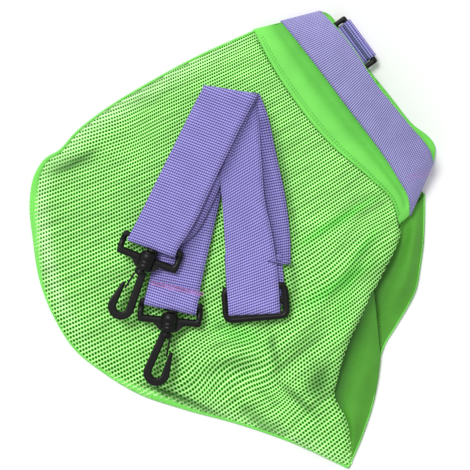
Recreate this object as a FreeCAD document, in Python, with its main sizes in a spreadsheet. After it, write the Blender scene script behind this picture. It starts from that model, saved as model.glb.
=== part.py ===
import math
import os

import FreeCAD
import Part
import Sketcher

# Mesh carrying bag with a wide webbing mouth and a detached shoulder strap.
# The bag lies flat on its plain woven back, mesh side up, and the folded strap lies on it.
# Frame: +Z up from the floor, +X along the mouth, +Y out of the mouth, origin under the middle.
# Lengths are millimetres.

SIZES = {
    # cloth and webbing
    "cloth_thick": 1.5,
    "mesh_thick": 1.6,
    "webbing_width": 50.0,
    "webbing_thick": 1.6,
    "layer_gap": 0.1,
    "binding_width": 6.0,
    "seam_lap": 1.0,
    "right_margin": 1.5,
    "corner_margin": 8.0,
    # mouth, measured on the back where it lies on the floor
    "mouth_seam_y": 127.0,
    "mouth_fold_y": 148.0,
    "mouth_rim_y": 197.0,
    "mouth_lean": 0.22,
    # thread
    "thread_width": 0.8,
    "thread_height": 0.4,
    # rings on the mouth
    "ring_length": 56.0,
    "ring_depth": 27.8,
    "ring_bar": 4.8,
    "ring_round": 2.3,
    "ring_tab_width": 44.0,
    "ring_tab_reach": 13.0,
    "ring_tab_thick": 1.4,
    "ring_tab_flare": 9.0,
    "ring_tab_gap": 1.0,
    # strap slider
    "slider_length": 61.0,
    "slider_depth": 34.0,
    "slider_thick": 3.4,
    "slider_side": 4.2,
    "slider_bar": 6.0,
    "slider_slot": 8.0,
    "slider_round": 1.3,
    "slider_gap": 0.2,
    "slider_clearance": 0.3,
    # strap legs
    "turn_gap": 0.5,
    "left_leg_low": 2.3,
    "left_leg_high": 7.2,
    "left_leg_split": 60.0,
    "middle_leg_split": 20.0,
    "middle_leg_overlap": 27.0,
    "right_leg_split": 60.0,
    "right_leg_high": 3.4,
    # snap hook: loop frame
    "loop_length": 62.0,
    "loop_inner": 53.0,
    "loop_bar": 5.0,
    "loop_reach": 14.0,
    "loop_lower_bar": 6.5,
    "loop_round": 2.2,
    "wing_start": 16.0,
    "wing_knee": 20.0,
    "wing_end": 27.0,
    "wing_wide": 15.0,
    "wing_narrow": 8.6,
    "wing_thick": 4.4,
    "barrel_start": 9.8,
    "barrel_end": 27.5,
    "barrel_outer": 7.6,
    "barrel_bore": 5.5,
    # snap hook: hook, measured along its axis from the loop's bar
    "stem_radius": 3.4,
    "head_radius": 6.4,
    "head_start": 5.9,
    "head_end": 8.1,
    "shoulder_start": 29.0,
    "shoulder_end": 32.0,
    "hook_thick": 6.4,
    "hook_round": 1.8,
    "neck_half": 6.2,
    "arc_centre": 69.0,
    "arc_outer": 13.0,
    "arc_inner": 5.0,
    "tip_end": 48.5,
    "tip_low": 5.8,
    "tip_high": 2.0,
    "gate_thick": 1.8,
    "gate_width": 5.2,
    "gate_root": 35.0,
    "gate_inset": 1.6,
    "gate_pin": 1.1,
    "gate_overlap": 3.2,
    "gate_gap": 0.8,
    # heights above the floor
    "hook_1_height": 28.0,
    "hook_2_height": 23.8,
    "slider_height": 27.2,
    "strap_height": 24.2,
}

# Bag body stations: y, left edge, right edge, height of the crown.
BODY_STATIONS = [
    (90.0, -197.0, 116.0, 23.5),
    (50.0, -205.0, 134.0, 22.5),
    (5.0, -210.0, 170.0, 20.5),
    (-35.0, -212.0, 199.0, 17.5),
    (-58.0, -212.5, 212.0, 15.0),
    (-85.0, -212.0, 165.0, 12.6),
    (-118.0, -209.0, 115.0, 11.4),
    (-150.0, -193.0, 75.0, 10.0),
    (-175.0, -153.0, 40.0, 8.0),
    (-193.0, -117.0, -4.0, 6.0),
    (-204.0, -80.0, -45.0, 4.2),
]

# Mouth stations: sheet cell with y on the floor, left corner, right corner, crown, corner height.
MOUTH_STATIONS = [
    ("mouth_seam_y", -188.0, 55.0, 23.5, 8.0),
    ("mouth_fold_y", -183.0, 44.0, 24.0, 9.0),
    ("mouth_rim_y", -167.0, 21.0, 52.0, 14.0),
]

# Floor outline of the woven back: left and bottom edge, then right edge back up to the mouth.
EDGE_LEFT_BOTTOM = [
    (-189.0, 126.0), (-204.5, 56.0), (-213.5, -48.0), (-211.0, -112.0), (-196.0, -147.0),
    (-153.0, -175.0), (-100.0, -199.0), (-55.0, -206.0), (-10.0, -197.0), (33.0, -180.0),
    (67.0, -156.0), (115.0, -118.0), (167.0, -83.0), (213.0, -58.0),
]
EDGE_RIGHT = [
    (213.0, -58.0), (174.0, 3.0), (145.0, 32.0), (129.0, 62.0), (110.0, 101.0), (79.0, 133.0), (60.0, 148.0),
]
MOUTH_CORNER = (57.0, 126.0)

# Seam between the mesh and the woven back on the right, seen from above.
SEAM_RIGHT = [
    (56.0, 140.0), (71.0, 98.0), (81.0, 62.0), (103.0, 21.0), (132.0, -16.0), (160.0, -33.0), (222.0, -56.0),
]

# Strap: apex of each leg and the turn at its far end.
APEX_LEFT = (-154.3, 69.4)
APEX_MIDDLE = (-160.6, 53.4)
APEX_RIGHT = (-139.7, 73.1)
HOOK_1 = (-79.5, -79.4)
HOOK_2 = (-22.0, -100.4)
SLIDER_CENTRE = (25.1, -33.8)
UNDER_END = (-4.0, 3.0)
LOOP_ANGLES = (-57.0, -42.5)
HOOK_ANGLES = (-65.6, -50.4)
SLIDER_ANGLE = -31.4
RINGS = {"left": (-121.0, 201.5, 8.6), "right": (-38.0, 186.0, 8.6)}

document = FreeCAD.newDocument("carrying_bag")
sheet = document.addObject("Spreadsheet::Sheet", "sizes")
for line, (alias, number) in enumerate(SIZES.items(), start=1):
    sheet.set("A%d" % line, alias)
    sheet.set("B%d" % line, str(number))
    sheet.setAlias("B%d" % line, alias)
document.recompute()

pieces = []


def cell(name):
    return float(sheet.get(name))


def point(x, y, z=0.0):
    return FreeCAD.Vector(x, y, z)


# ---------------------------------------------------------------- document helpers

def keep(obj, label):
    """Marks an object as a sub-part, exported under its label."""
    obj.Label = label
    pieces.append(obj)
    return obj


def feature(label, shape):
    obj = document.addObject("Part::Feature", "shape_" + label)
    obj.Shape = shape
    return keep(obj, label)


def origin_plane(body, role):
    return next(item for item in body.Origin.OriginFeatures if item.Role == role)


def new_sketch(body, name, role="XY_Plane"):
    sketch = body.newObject("Sketcher::SketchObject", name)
    sketch.AttachmentSupport = [(origin_plane(body, role), "")]
    sketch.MapMode = "FlatFace"
    return sketch


def number_of(expression):
    """Value of a sum of sheet cells, each with its factor."""
    return sum(factor * cell(name) for factor, name in expression)


def formula_of(expression):
    return " + ".join("(%g) * sizes.%s" % (factor, name) for factor, name in expression)


def pin(sketch, geometry, vertex, across, along):
    """Ties one sketch point to the sheet: across and along are sums of cells, or empty for zero."""
    for kind, expression in (("DistanceX", across), ("DistanceY", along)):
        value = number_of(expression)
        index = sketch.addConstraint(Sketcher.Constraint(kind, -1, 1, geometry, vertex, value))
        if expression:
            sketch.setExpression("Constraints[%d]" % index, formula_of(expression))


def closed_outline(sketch, corners):
    """Closed run of lines through corners given as (across, along) sums of cells."""
    places = [point(number_of(a), number_of(b)) for a, b in corners]
    count = len(places)
    for side in range(count):
        sketch.addGeometry(Part.LineSegment(places[side], places[(side + 1) % count]), False)
    for side in range(count):
        sketch.addConstraint(Sketcher.Constraint("Coincident", side, 2, (side + 1) % count, 1))
        pin(sketch, side, 1, *corners[side])


def rectangle(sketch, length, depth, centre_along=()):
    """Rectangle centred across the sketch, with its sizes tied to the sheet."""
    low = [(-0.5 * f, n) for f, n in depth] + list(centre_along)
    high = [(0.5 * f, n) for f, n in depth] + list(centre_along)
    left = [(-0.5 * f, n) for f, n in length]
    right = [(0.5 * f, n) for f, n in length]
    start = sketch.GeometryCount
    spots = [(low, left), (high, left), (high, right), (low, right)]
    places = [point(number_of(a), number_of(b)) for a, b in spots]
    for side in range(4):
        sketch.addGeometry(Part.LineSegment(places[side], places[(side + 1) % 4]), False)
    for side in range(4):
        follow = start + (side + 1) % 4
        sketch.addConstraint(Sketcher.Constraint("Coincident", start + side, 2, follow, 1))
        pin(sketch, start + side, 1, *spots[side])


def pad(body, sketch, cell_name):
    """Extrudes a sketch evenly to both sides of its plane."""
    obj = body.newObject("PartDesign::Pad", "pad_" + sketch.Name)
    obj.Profile = sketch
    obj.Midplane = True
    obj.setExpression("Length", "sizes." + cell_name)
    sketch.Visibility = False
    return obj


def round_edges(body, base, cell_name):
    obj = body.newObject("PartDesign::Fillet", "round_" + base.Name)
    obj.Base = (base, ["Edge1"])
    obj.UseAllEdges = True
    obj.setExpression("Radius", "sizes." + cell_name)
    return obj


def place(obj, spot, height, angle=0.0, roll=0.0):
    turn = FreeCAD.Rotation(point(0, 0, 1), angle)
    flip = FreeCAD.Rotation(point(1, 0, 0), roll)
    obj.Placement = FreeCAD.Placement(point(spot[0], spot[1], height), turn.multiply(flip))


# ---------------------------------------------------------------- bag body

def crown(fraction, flatness=3.0, shoulder=1.6):
    """Height of an arch, 0 at its ends and 1 at its middle, flat over most of its width."""
    reach = abs(2.0 * fraction - 1.0)
    return (1.0 - reach ** flatness) ** (1.0 / shoulder)


ARCH_FRACTIONS = (0.0, 0.03, 0.1, 0.24, 0.5, 0.76, 0.9, 0.97, 1.0)


def arch_profile(y, left, right, top, base, inset, lean=0.0):
    """Open arch across the bag at one station."""
    low = left + inset
    high = right - inset
    spots = []
    for fraction in ARCH_FRACTIONS:
        z = base + max(top - inset - base, 0.6) * crown(fraction)
        spots.append(point(low + fraction * (high - low), y - lean * z, z))
    return smooth(spots)


def arch_wire(y, left, right, top, base, inset, lean=0.0):
    """Arch closed along its foot."""
    arch = arch_profile(y, left, right, top, base, inset, lean)
    first = arch.valueAt(arch.FirstParameter)
    last = arch.valueAt(arch.LastParameter)
    return Part.Wire([arch, Part.makeLine(last, first)])


def arch_solid(inset, foot):
    """Crowned body of the bag from the mouth seam to the bottom, pulled in by inset."""
    seam_y = cell("mouth_seam_y")
    lean = cell("mouth_lean")
    seam = MOUTH_STATIONS[0]
    margin = cell("binding_width")
    left = seam[1] + margin
    right = seam[2] + cell("corner_margin")
    wires = [arch_wire(seam_y - cell("seam_lap"), left, right, seam[3], foot, inset, lean)]
    for y, left, right, top in BODY_STATIONS:
        wires.append(arch_wire(y, left + margin, right - cell("right_margin"), top, foot, inset))
    return Part.makeLoft(wires, True, False)


def smooth(spots):
    """Smooth edge through spots."""
    curve = Part.BSplineCurve()
    curve.interpolate(spots)
    return curve.toShape()


def right_side_region():
    """Everything to the right of the seam, as a tall block."""
    below = -5.0
    outside = 260.0
    height = 60.0
    seam = smooth([point(x, y, below) for x, y in SEAM_RIGHT])
    start = seam.valueAt(seam.FirstParameter)
    end = seam.valueAt(seam.LastParameter)
    far = point(outside, end.y, below)
    corner = point(outside, start.y, below)
    lines = [Part.makeLine(a, b) for a, b in ((end, far), (far, corner), (corner, start))]
    return Part.Face(Part.Wire([seam] + lines)).extrude(point(0, 0, height))


def floor_outline():
    left = smooth([point(x, y) for x, y in EDGE_LEFT_BOTTOM])
    right = smooth([point(x, y) for x, y in EDGE_RIGHT])
    top = point(*EDGE_RIGHT[-1])
    corner = point(*MOUTH_CORNER)
    start = point(*EDGE_LEFT_BOTTOM[0])
    return Part.Wire([left, right, Part.makeLine(top, corner), Part.makeLine(corner, start)])


def build_bag_body():
    """Mesh front, woven back with its right side wall, and the binding round the left and bottom."""
    foot = cell("cloth_thick") + cell("layer_gap")
    under_foot = foot - 1.0
    shell = arch_solid(0.0, foot).cut(arch_solid(cell("mesh_thick"), under_foot))
    side = right_side_region()
    feature("mesh_panel", shell.cut(side).Solids[0])

    slab = Part.Face(floor_outline()).extrude(point(0, 0, cell("cloth_thick")))
    flank = shell.common(side)
    flank.translate(point(0, 0, -cell("layer_gap")))
    back = slab.fuse(flank).removeSplitter()
    feature("back_panel", max(back.Solids, key=lambda solid: solid.Volume))

    width = cell("binding_width") - cell("layer_gap")
    edge = smooth([point(x, y, foot) for x, y in EDGE_LEFT_BOTTOM])
    inner_spots = []
    for x, y in EDGE_LEFT_BOTTOM:
        along = edge.tangentAt(edge.Curve.parameter(point(x, y, foot)))
        inner_spots.append(point(x, y, foot) + point(-along.y, along.x) * width)
    inner = smooth(inner_spots)
    ends = [
        Part.makeLine(edge.valueAt(edge.LastParameter), inner.valueAt(inner.LastParameter)),
        Part.makeLine(inner.valueAt(inner.FirstParameter), edge.valueAt(edge.FirstParameter)),
    ]
    face = Part.Face(Part.Wire([edge, ends[0], inner, ends[1]]))
    ribbon = face.extrude(point(0, 0, cell("cloth_thick")))
    clear = arch_solid(-cell("layer_gap"), under_foot)
    feature("edge_binding", max(ribbon.cut(clear).Solids, key=lambda solid: solid.Volume))


# ---------------------------------------------------------------- mouth

LENS_FRACTIONS = (0.0, 0.02, 0.08, 0.2, 0.35, 0.5, 0.65, 0.8, 0.92, 0.98, 1.0)
FLOOR_FRACTIONS = (0.985, 0.95, 0.9, 0.8, 0.65, 0.5, 0.35, 0.2, 0.1, 0.05, 0.015)
FLOOR_FLAT = 0.06
FLOOR_LIFT = 0.4

# Stations between which the bands, the webbing and the thread run, and how far a cut runs past them.
BAND_SPAN = (0.04, 2.0)
WEBBING_SPAN = (1.02, 1.98)
CUT_MARGIN = 0.02


def lens_wire(station, inset):
    """Closed section of the mouth at a station between its seam (0) and its rim (2)."""
    crown_flatness = 2.6
    crown_shoulder = 1.5
    index = min(int(station), len(MOUTH_STATIONS) - 2)
    part = station - index
    low = MOUTH_STATIONS[index]
    high = MOUTH_STATIONS[index + 1]
    y = cell(low[0]) + part * (cell(high[0]) - cell(low[0]))
    left, right, top, corner = [a + part * (b - a) for a, b in zip(low[1:], high[1:])]
    lean = cell("mouth_lean")
    left += inset
    right -= inset
    spots = []
    for fraction in LENS_FRACTIONS:
        z = corner + (top - inset - corner) * crown(fraction, crown_flatness, crown_shoulder)
        spots.append(point(left + fraction * (right - left), y - lean * z, z))
    for fraction in FLOOR_FRACTIONS:
        nearest = min(fraction, 1.0 - fraction)
        rise = max(1.0 - nearest / FLOOR_FLAT, 0.0)
        z = inset + FLOOR_LIFT + (corner - inset - FLOOR_LIFT) * rise ** 2.0
        spots.append(point(left + fraction * (right - left), y - lean * z, z))
    curve = Part.BSplineCurve()
    curve.interpolate(Points=spots, PeriodicFlag=True)
    return Part.Wire([curve.toShape()])


def mouth_solid(start, end, inset):
    """Solid inside the mouth's surface between two stations, pulled in by inset."""
    stops = [start] + [stop for stop in (1.0,) if start < stop < end] + [end]
    return Part.makeLoft([lens_wire(stop, inset) for stop in stops], True, True)


def mouth_shell(start, end, inset, thick):
    outer = mouth_solid(start, end, inset)
    inner = mouth_solid(start - CUT_MARGIN, end + CUT_MARGIN, inset + thick)
    return outer.cut(inner)


def front_half():
    """Tall block above the corners of the mouth, where its front lies."""
    start_y = 100.0
    drop = 2.0
    block = Part.makeBox(400.0, 140.0, 90.0, point(-280.0, start_y, 0.0))
    rise = MOUTH_STATIONS[2][4] - MOUTH_STATIONS[0][4]
    run = cell("mouth_rim_y") - cell("mouth_seam_y")
    block.rotate(point(0, start_y, 0), point(1, 0, 0), math.degrees(math.atan2(rise, run)))
    block.translate(point(0, 0, MOUTH_STATIONS[0][4] - drop))
    return block


def build_mouth():
    """Hem bands of the front and back, and the webbing sewn round them as one closed loop."""
    gap = cell("layer_gap")
    webbing = cell("webbing_thick")
    band = mouth_shell(*BAND_SPAN, webbing + gap, cell("cloth_thick"))
    front = front_half()
    lowered = front.copy()
    lowered.translate(point(0, 0, -gap))
    feature("mouth_band_front", band.common(front).Solids[0])
    feature("mouth_band_back", band.cut(lowered).Solids[0])
    feature("mouth_webbing", mouth_shell(*WEBBING_SPAN, 0.0, webbing).Solids[0])


def thread_rows(label, rows, inset):
    """Rows of thread standing just proud of the mouth's front, one solid each.

    Each row is its low corner and its size in plan; its surface is the mouth's, pulled in by inset.
    """
    height = cell("thread_height")
    sunk = 0.02
    above_back = 18.0
    tall = 60.0
    start, end = BAND_SPAN[0], WEBBING_SPAN[1]
    outside = mouth_solid(start, end, inset - height)
    skin = outside.cut(mouth_solid(start - CUT_MARGIN, end + CUT_MARGIN, inset - sunk))
    solids = []
    for (x, y), (length, width) in rows:
        block = Part.makeBox(length, width, tall, point(x, y, above_back))
        solids.append(skin.common(block).Solids[0])
    feature(label, Part.makeCompound(solids))


def build_mouth_thread():
    wide = cell("thread_width")
    band_inset = cell("webbing_thick") + cell("layer_gap")
    hem = [((-160.0, y), (180.0, wide)) for y in (125.5, 128.5)]
    thread_rows("hem_stitching", hem, band_inset)
    lap = [((x, 150.0), (wide, 34.0)) for x in (-12.0, -7.0)]
    thread_rows("webbing_lap_stitching", lap, 0.0)


# ---------------------------------------------------------------- rings and their tabs

def build_ring(side):
    body = document.addObject("PartDesign::Body", "ring_body_" + side)
    sketch = new_sketch(body, "ring_outline_" + side)
    depth = [(1.0, "ring_depth")]
    shift = [(-0.5, "ring_depth"), (0.5, "ring_bar")]
    rectangle(sketch, [(1.0, "ring_length")], depth, shift)
    rectangle(sketch, [(1.0, "ring_length"), (-2.0, "ring_bar")], depth + [(-2.0, "ring_bar")], shift)
    frame = pad(body, sketch, "ring_bar")
    document.recompute()
    round_edges(body, frame, "ring_round")
    x, y, z = RINGS[side]
    place(body, (x, y), z, 90.0)
    return keep(body, "ring_" + side)


def build_ring_tab(side):
    """Webbing folded round the ring's outer bar and sewn to the inside of the back hem."""
    x, y, z = RINGS[side]
    thick = cell("ring_tab_thick")
    inner = cell("ring_bar") / 2.0 + cell("ring_tab_gap")
    outer = inner + thick
    reach = cell("ring_tab_reach")
    floor = cell("webbing_thick") + cell("cloth_thick") + 3.0 * cell("layer_gap") + FLOOR_LIFT
    flare = y - cell("ring_tab_flare")
    slit = flare + 0.5
    slit_half = 0.01
    tail = y - reach

    def wire(spots, radius):
        arc = Part.Arc(point(x, y, z - radius), point(x, y + radius, z), point(x, y, z + radius)).toShape()
        line = [point(x, y, z + radius)] + [point(x, a, b) for a, b in spots] + [point(x, y, z - radius)]
        edges = [Part.makeLine(a, b) for a, b in zip(line, line[1:])]
        return Part.Wire([arc] + edges)

    top = floor + 2.0 * thick
    outside = wire([(flare, top), (tail, top), (tail, floor), (flare, floor)], outer)
    middle = floor + thick
    inside = wire([(slit, middle + slit_half), (slit, middle - slit_half)], inner)
    profile = Part.Face(outside).cut(Part.Face(inside))
    width = cell("ring_tab_width")
    solid = profile.Faces[0].extrude(point(width, 0, 0))
    solid.translate(point(-width / 2.0, 0, 0))
    feature("ring_tab_" + side, solid)
    return top, tail


def build_tab_thread(tops):
    wide = cell("thread_width")
    high = cell("thread_height")
    end_margin = 4.0
    length = cell("ring_tab_width") - 2.0 * end_margin
    solids = []
    for side, (top, tail) in tops.items():
        x = RINGS[side][0] - length / 2.0
        for offset in (1.0, 3.0):
            solids.append(Part.makeBox(length, wide, high, point(x, tail + offset, top)))
    feature("ring_tab_stitching", Part.makeCompound(solids))


# ---------------------------------------------------------------- shoulder strap

def heading(start, end):
    return math.degrees(math.atan2(end[1] - start[1], end[0] - start[0]))


def along_leg(profile, start, end, bar_angle=None):
    """Extrudes a side profile, drawn as distance along the leg and height, to the webbing's width.

    bar_angle is the direction that faces squarely across the bar at the leg's end.
    """
    direction = heading(start, end)
    skew = math.radians((direction if bar_angle is None else bar_angle) - direction)
    width = cell("webbing_width")
    across = point(-width * math.tan(skew), width, 0)
    solid = Part.Face(profile).extrude(across)
    solid.translate(across * -0.5)
    solid.rotate(point(0, 0, 0), point(0, 0, 1), direction)
    solid.translate(point(start[0], start[1], 0))
    return solid


def side_polygon(spots):
    line = [point(s, 0, z) for s, z in spots]
    return Part.makePolygon(line + [line[0]])


def turned_profile(spots_in, centre, radius, spots_out):
    """Side profile that comes along spots_in, turns round centre and goes back along spots_out."""
    s, z = centre
    line_in = [point(a, 0, b) for a, b in spots_in] + [point(s, 0, z - radius)]
    line_out = [point(s, 0, z + radius)] + [point(a, 0, b) for a, b in spots_out]
    edges = [Part.makeLine(a, b) for a, b in zip(line_in, line_in[1:])]
    edges.append(Part.Arc(line_in[-1], point(s + radius, 0, z), line_out[0]).toShape())
    edges += [Part.makeLine(a, b) for a, b in zip(line_out, line_out[1:])]
    edges.append(Part.makeLine(line_out[-1], line_in[0]))
    return Part.Wire(edges)


def leg_length(start, end):
    return math.hypot(end[0] - start[0], end[1] - start[1])


def looped_leg(start, end, low, high, index, split, tail=None):
    """Leg whose far end is folded round a hook's bar, open from split millimetres before the bar.

    low and high are its heights at the apex. tail is how far the folded end reaches back over a
    leg of one layer, where it is sewn on as a second layer.
    """
    thick = cell("webbing_thick")
    inner = cell("loop_bar") / 2.0 + cell("turn_gap")
    bar_height = cell("hook_%d_height" % index)
    bar_angle = LOOP_ANGLES[index - 1]
    length = leg_length(start, end)
    turn = (length, bar_height)
    open_at = length - split
    tail_rise = 1.2
    slit_half = 0.05

    def low_at(s):
        return low + (bar_height - inner - thick - low) * s / length

    spots_out = []
    middle = low_at(open_at) + (high - low) * (1.0 - open_at / length) / 2.0
    if tail:
        tail_at = length - tail
        top = low_at(tail_at) + thick
        spots_out = [(tail_at, top + tail_rise), (tail_at - 1.0, top)]
        middle = low_at(open_at) + thick
    outer = turned_profile([(0.0, low)], turn, inner + thick, spots_out + [(0.0, high)])
    wedge = turned_profile([(open_at, middle - slit_half)], turn, inner, [(open_at, middle + slit_half)])
    return along_leg(outer, start, end, bar_angle).cut(along_leg(wedge, start, end, bar_angle))


def slider_leg_end():
    """Distance along the right leg where the slider's own turn of webbing begins."""
    margin = 3.3
    return leg_length(APEX_RIGHT, SLIDER_CENTRE) - cell("slider_depth") / 2.0 - margin


def build_strap():
    """Webbing of the shoulder strap, folded over at its apex into three legs."""
    base = cell("strap_height")
    thick = cell("webbing_thick")
    half_slider = cell("slider_thick") / 2.0 + cell("slider_gap")
    low_z = cell("slider_height") - half_slider - thick
    high_z = cell("slider_height") + half_slider
    end = slider_leg_end()
    left_low = base + cell("left_leg_low")
    left_high = base + cell("left_leg_high")
    left = looped_leg(APEX_LEFT, HOOK_1, left_low, left_high, 1, cell("left_leg_split"))
    overlap = cell("middle_leg_overlap")
    middle = looped_leg(APEX_MIDDLE, HOOK_2, base, base + thick, 2, cell("middle_leg_split"), overlap)
    right_profile = side_polygon([
        (0.0, base), (end, low_z), (end, low_z + thick),
        (cell("right_leg_split"), base + thick + cell("layer_gap")),
        (end, high_z), (end, high_z + thick), (0.0, base + cell("right_leg_high")),
    ])
    right = along_leg(right_profile, APEX_RIGHT, SLIDER_CENTRE, SLIDER_ANGLE)
    reach = leg_length(APEX_RIGHT, UNDER_END)
    under_profile = side_polygon([(0.0, base), (reach, base), (reach, base + thick), (0.0, base + thick)])
    under = along_leg(under_profile, APEX_RIGHT, UNDER_END)
    strap = left.multiFuse([middle, right, under]).removeSplitter()
    feature("strap_webbing", strap.Solids[0])
    build_strap_thread(middle)


def build_strap_thread(leg):
    """Rows that sew the folded end back on the leg above the second hook, just proud of its top."""
    length = leg_length(APEX_MIDDLE, HOOK_2)
    wide = cell("thread_width")
    above = 40.0
    raised = leg.copy()
    raised.translate(point(0, 0, cell("thread_height")))
    solids = []
    for offset in (19.0, 23.0):
        start = length - offset
        end = start + wide
        profile = side_polygon([(start, 0.0), (end, 0.0), (end, above), (start, above)])
        block = along_leg(profile, APEX_MIDDLE, HOOK_2, LOOP_ANGLES[1])
        layers = raised.common(block).cut(leg).Solids
        solids.append(max(layers, key=lambda solid: solid.BoundBox.ZMax))
    feature("strap_end_stitching", Part.makeCompound(solids))


def build_slider():
    """Three-bar slider and the turn of webbing that it holds round its middle bar."""
    body = document.addObject("PartDesign::Body", "slider_body")
    sketch = new_sketch(body, "slider_outline")
    length = [(1.0, "slider_length")]
    slot = [(1.0, "slider_length"), (-2.0, "slider_side")]
    rectangle(sketch, length, [(1.0, "slider_depth")])
    shift = [(0.5, "slider_bar"), (0.5, "slider_slot")]
    rectangle(sketch, slot, [(1.0, "slider_slot")], shift)
    rectangle(sketch, slot, [(1.0, "slider_slot")], [(-f, n) for f, n in shift])
    frame = pad(body, sketch, "slider_thick")
    document.recompute()
    round_edges(body, frame, "slider_round")
    place(body, SLIDER_CENTRE, cell("slider_height"), SLIDER_ANGLE)
    keep(body, "slider")

    half = cell("slider_thick") / 2.0 + cell("slider_gap")
    outer_half = half + cell("webbing_thick")
    past_bar = cell("slider_bar") / 2.0 + 0.6
    turn_at = leg_length(APEX_RIGHT, SLIDER_CENTRE) + past_bar
    start = slider_leg_end() + cell("slider_clearance")
    before = start - 1.0
    z = cell("slider_height")
    outer = turned_profile([(start, z - outer_half)], (turn_at, z), outer_half, [(start, z + outer_half)])
    inner = turned_profile([(before, z - half)], (turn_at, z), half, [(before, z + half)])
    solid = along_leg(outer, APEX_RIGHT, SLIDER_CENTRE, SLIDER_ANGLE)
    room = along_leg(inner, APEX_RIGHT, SLIDER_CENTRE, SLIDER_ANGLE)
    feature("strap_turn", solid.cut(room).Solids[0])


# ---------------------------------------------------------------- swivel snap hooks

def build_loop(index, spot):
    """Loop frame with the barrel that the hook's stem turns in."""
    body = document.addObject("PartDesign::Body", "loop_body_%d" % index)
    sketch = new_sketch(body, "loop_outline_%d" % index)
    whole = [(1.0, "loop_reach"), (0.5, "loop_bar"), (1.0, "loop_lower_bar")]
    shift = [(0.5 * f, n) for f, n in whole] + [(-0.5, "loop_bar")]
    opening = [(1.0, "loop_reach"), (-0.5, "loop_bar")]
    opening_shift = [(0.5 * f, n) for f, n in opening] + [(0.5, "loop_bar")]
    rectangle(sketch, [(1.0, "loop_length")], whole, shift)
    rectangle(sketch, [(1.0, "loop_inner")], opening, opening_shift)
    frame = pad(body, sketch, "loop_bar")
    document.recompute()
    round_edges(body, frame, "loop_round")
    document.recompute()

    wing = new_sketch(body, "wing_outline_%d" % index)
    closed_outline(wing, [
        ([(1.0, along)], [(side, across)]) for along, side, across in (
            ("wing_start", -1.0, "wing_wide"), ("wing_knee", -1.0, "wing_wide"),
            ("wing_end", -1.0, "wing_narrow"), ("wing_end", 1.0, "wing_narrow"),
            ("wing_knee", 1.0, "wing_wide"), ("wing_start", 1.0, "wing_wide"),
        )
    ])
    pad(body, wing, "wing_thick")
    document.recompute()

    revolve(body, "barrel_%d" % index, "PartDesign::Revolution", [
        ("barrel_start", None), ("barrel_start", "barrel_outer"),
        ("barrel_end", "barrel_outer"), ("barrel_end", None),
    ])
    document.recompute()
    solid_volume = body.Shape.Volume
    revolve(body, "bore_%d" % index, "PartDesign::Groove", [
        ("head_start", None), ("head_start", "barrel_bore"),
        ("shoulder_start", "barrel_bore"), ("shoulder_start", None),
    ])
    document.recompute()
    if body.Shape.Volume >= solid_volume:
        raise RuntimeError("the bore of loop %d cuts nothing" % index)
    place(body, spot, cell("hook_%d_height" % index), LOOP_ANGLES[index - 1])
    return keep(body, "hook_%d_loop" % index)


def revolve(body, name, kind, corners):
    """Turns an outline, given as (along, radius) cells, round the body's X axis."""
    sketch = new_sketch(body, "outline_" + name)
    spots = []
    for along, radius in corners:
        spots.append(([(1.0, along)], [(1.0, radius)] if radius else []))
    closed_outline(sketch, spots)
    obj = body.newObject(kind, "turned_" + name)
    obj.Profile = sketch
    obj.ReferenceAxis = (sketch, ["H_Axis"])
    obj.Angle = 360.0
    sketch.Visibility = False
    return obj


def hook_outline_wire():
    """Flat outline of the hook: neck, straight arm, round bow and the tip that the gate closes on."""
    inner_spread = 0.6
    crotch_depth = 4.0
    crotch_lift = 0.6
    tip_round = 2.0
    neck = cell("neck_half")
    start = cell("shoulder_end") - 1.0
    centre = cell("arc_centre")
    outer = cell("arc_outer")
    inner = cell("arc_inner")
    tip = cell("tip_end")
    bow = point(centre, 0)

    def on_circle(radius, degrees):
        angle = math.radians(degrees)
        return bow + point(radius * math.cos(angle), radius * math.sin(angle))

    spread = math.degrees(math.asin((outer - neck) / (centre - start)))
    outer_low = on_circle(outer, -90.0 - spread)
    outer_high = on_circle(outer, 90.0 + spread)
    inner_low = on_circle(inner, -90.0 - spread)
    inner_high = on_circle(inner, 90.0 + spread * inner_spread)
    tip_outer = point(tip, outer - cell("tip_high"))
    tip_nose = point(tip - tip_round, outer - (cell("tip_high") + cell("tip_low")) / 2.0)
    tip_inner = point(tip, outer - cell("tip_low"))
    crotch = point(start + crotch_depth, crotch_lift)
    neck_low = point(start, -neck)
    neck_high = point(start, neck)
    crotch_high = point(start + crotch_depth / 2.0, neck - crotch_lift)
    edges = [
        Part.makeLine(neck_low, outer_low),
        Part.Arc(outer_low, on_circle(outer, 0.0), outer_high).toShape(),
        Part.makeLine(outer_high, tip_outer),
        Part.Arc(tip_outer, tip_nose, tip_inner).toShape(),
        Part.makeLine(tip_inner, inner_high),
        Part.Arc(inner_high, on_circle(inner, 0.0), inner_low).toShape(),
        Part.makeLine(inner_low, crotch),
        Part.makeLine(crotch, crotch_high),
        Part.makeLine(crotch_high, neck_high),
        Part.makeLine(neck_high, neck_low),
    ]
    return Part.Wire(edges)


FLAT = 1e-6


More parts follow.
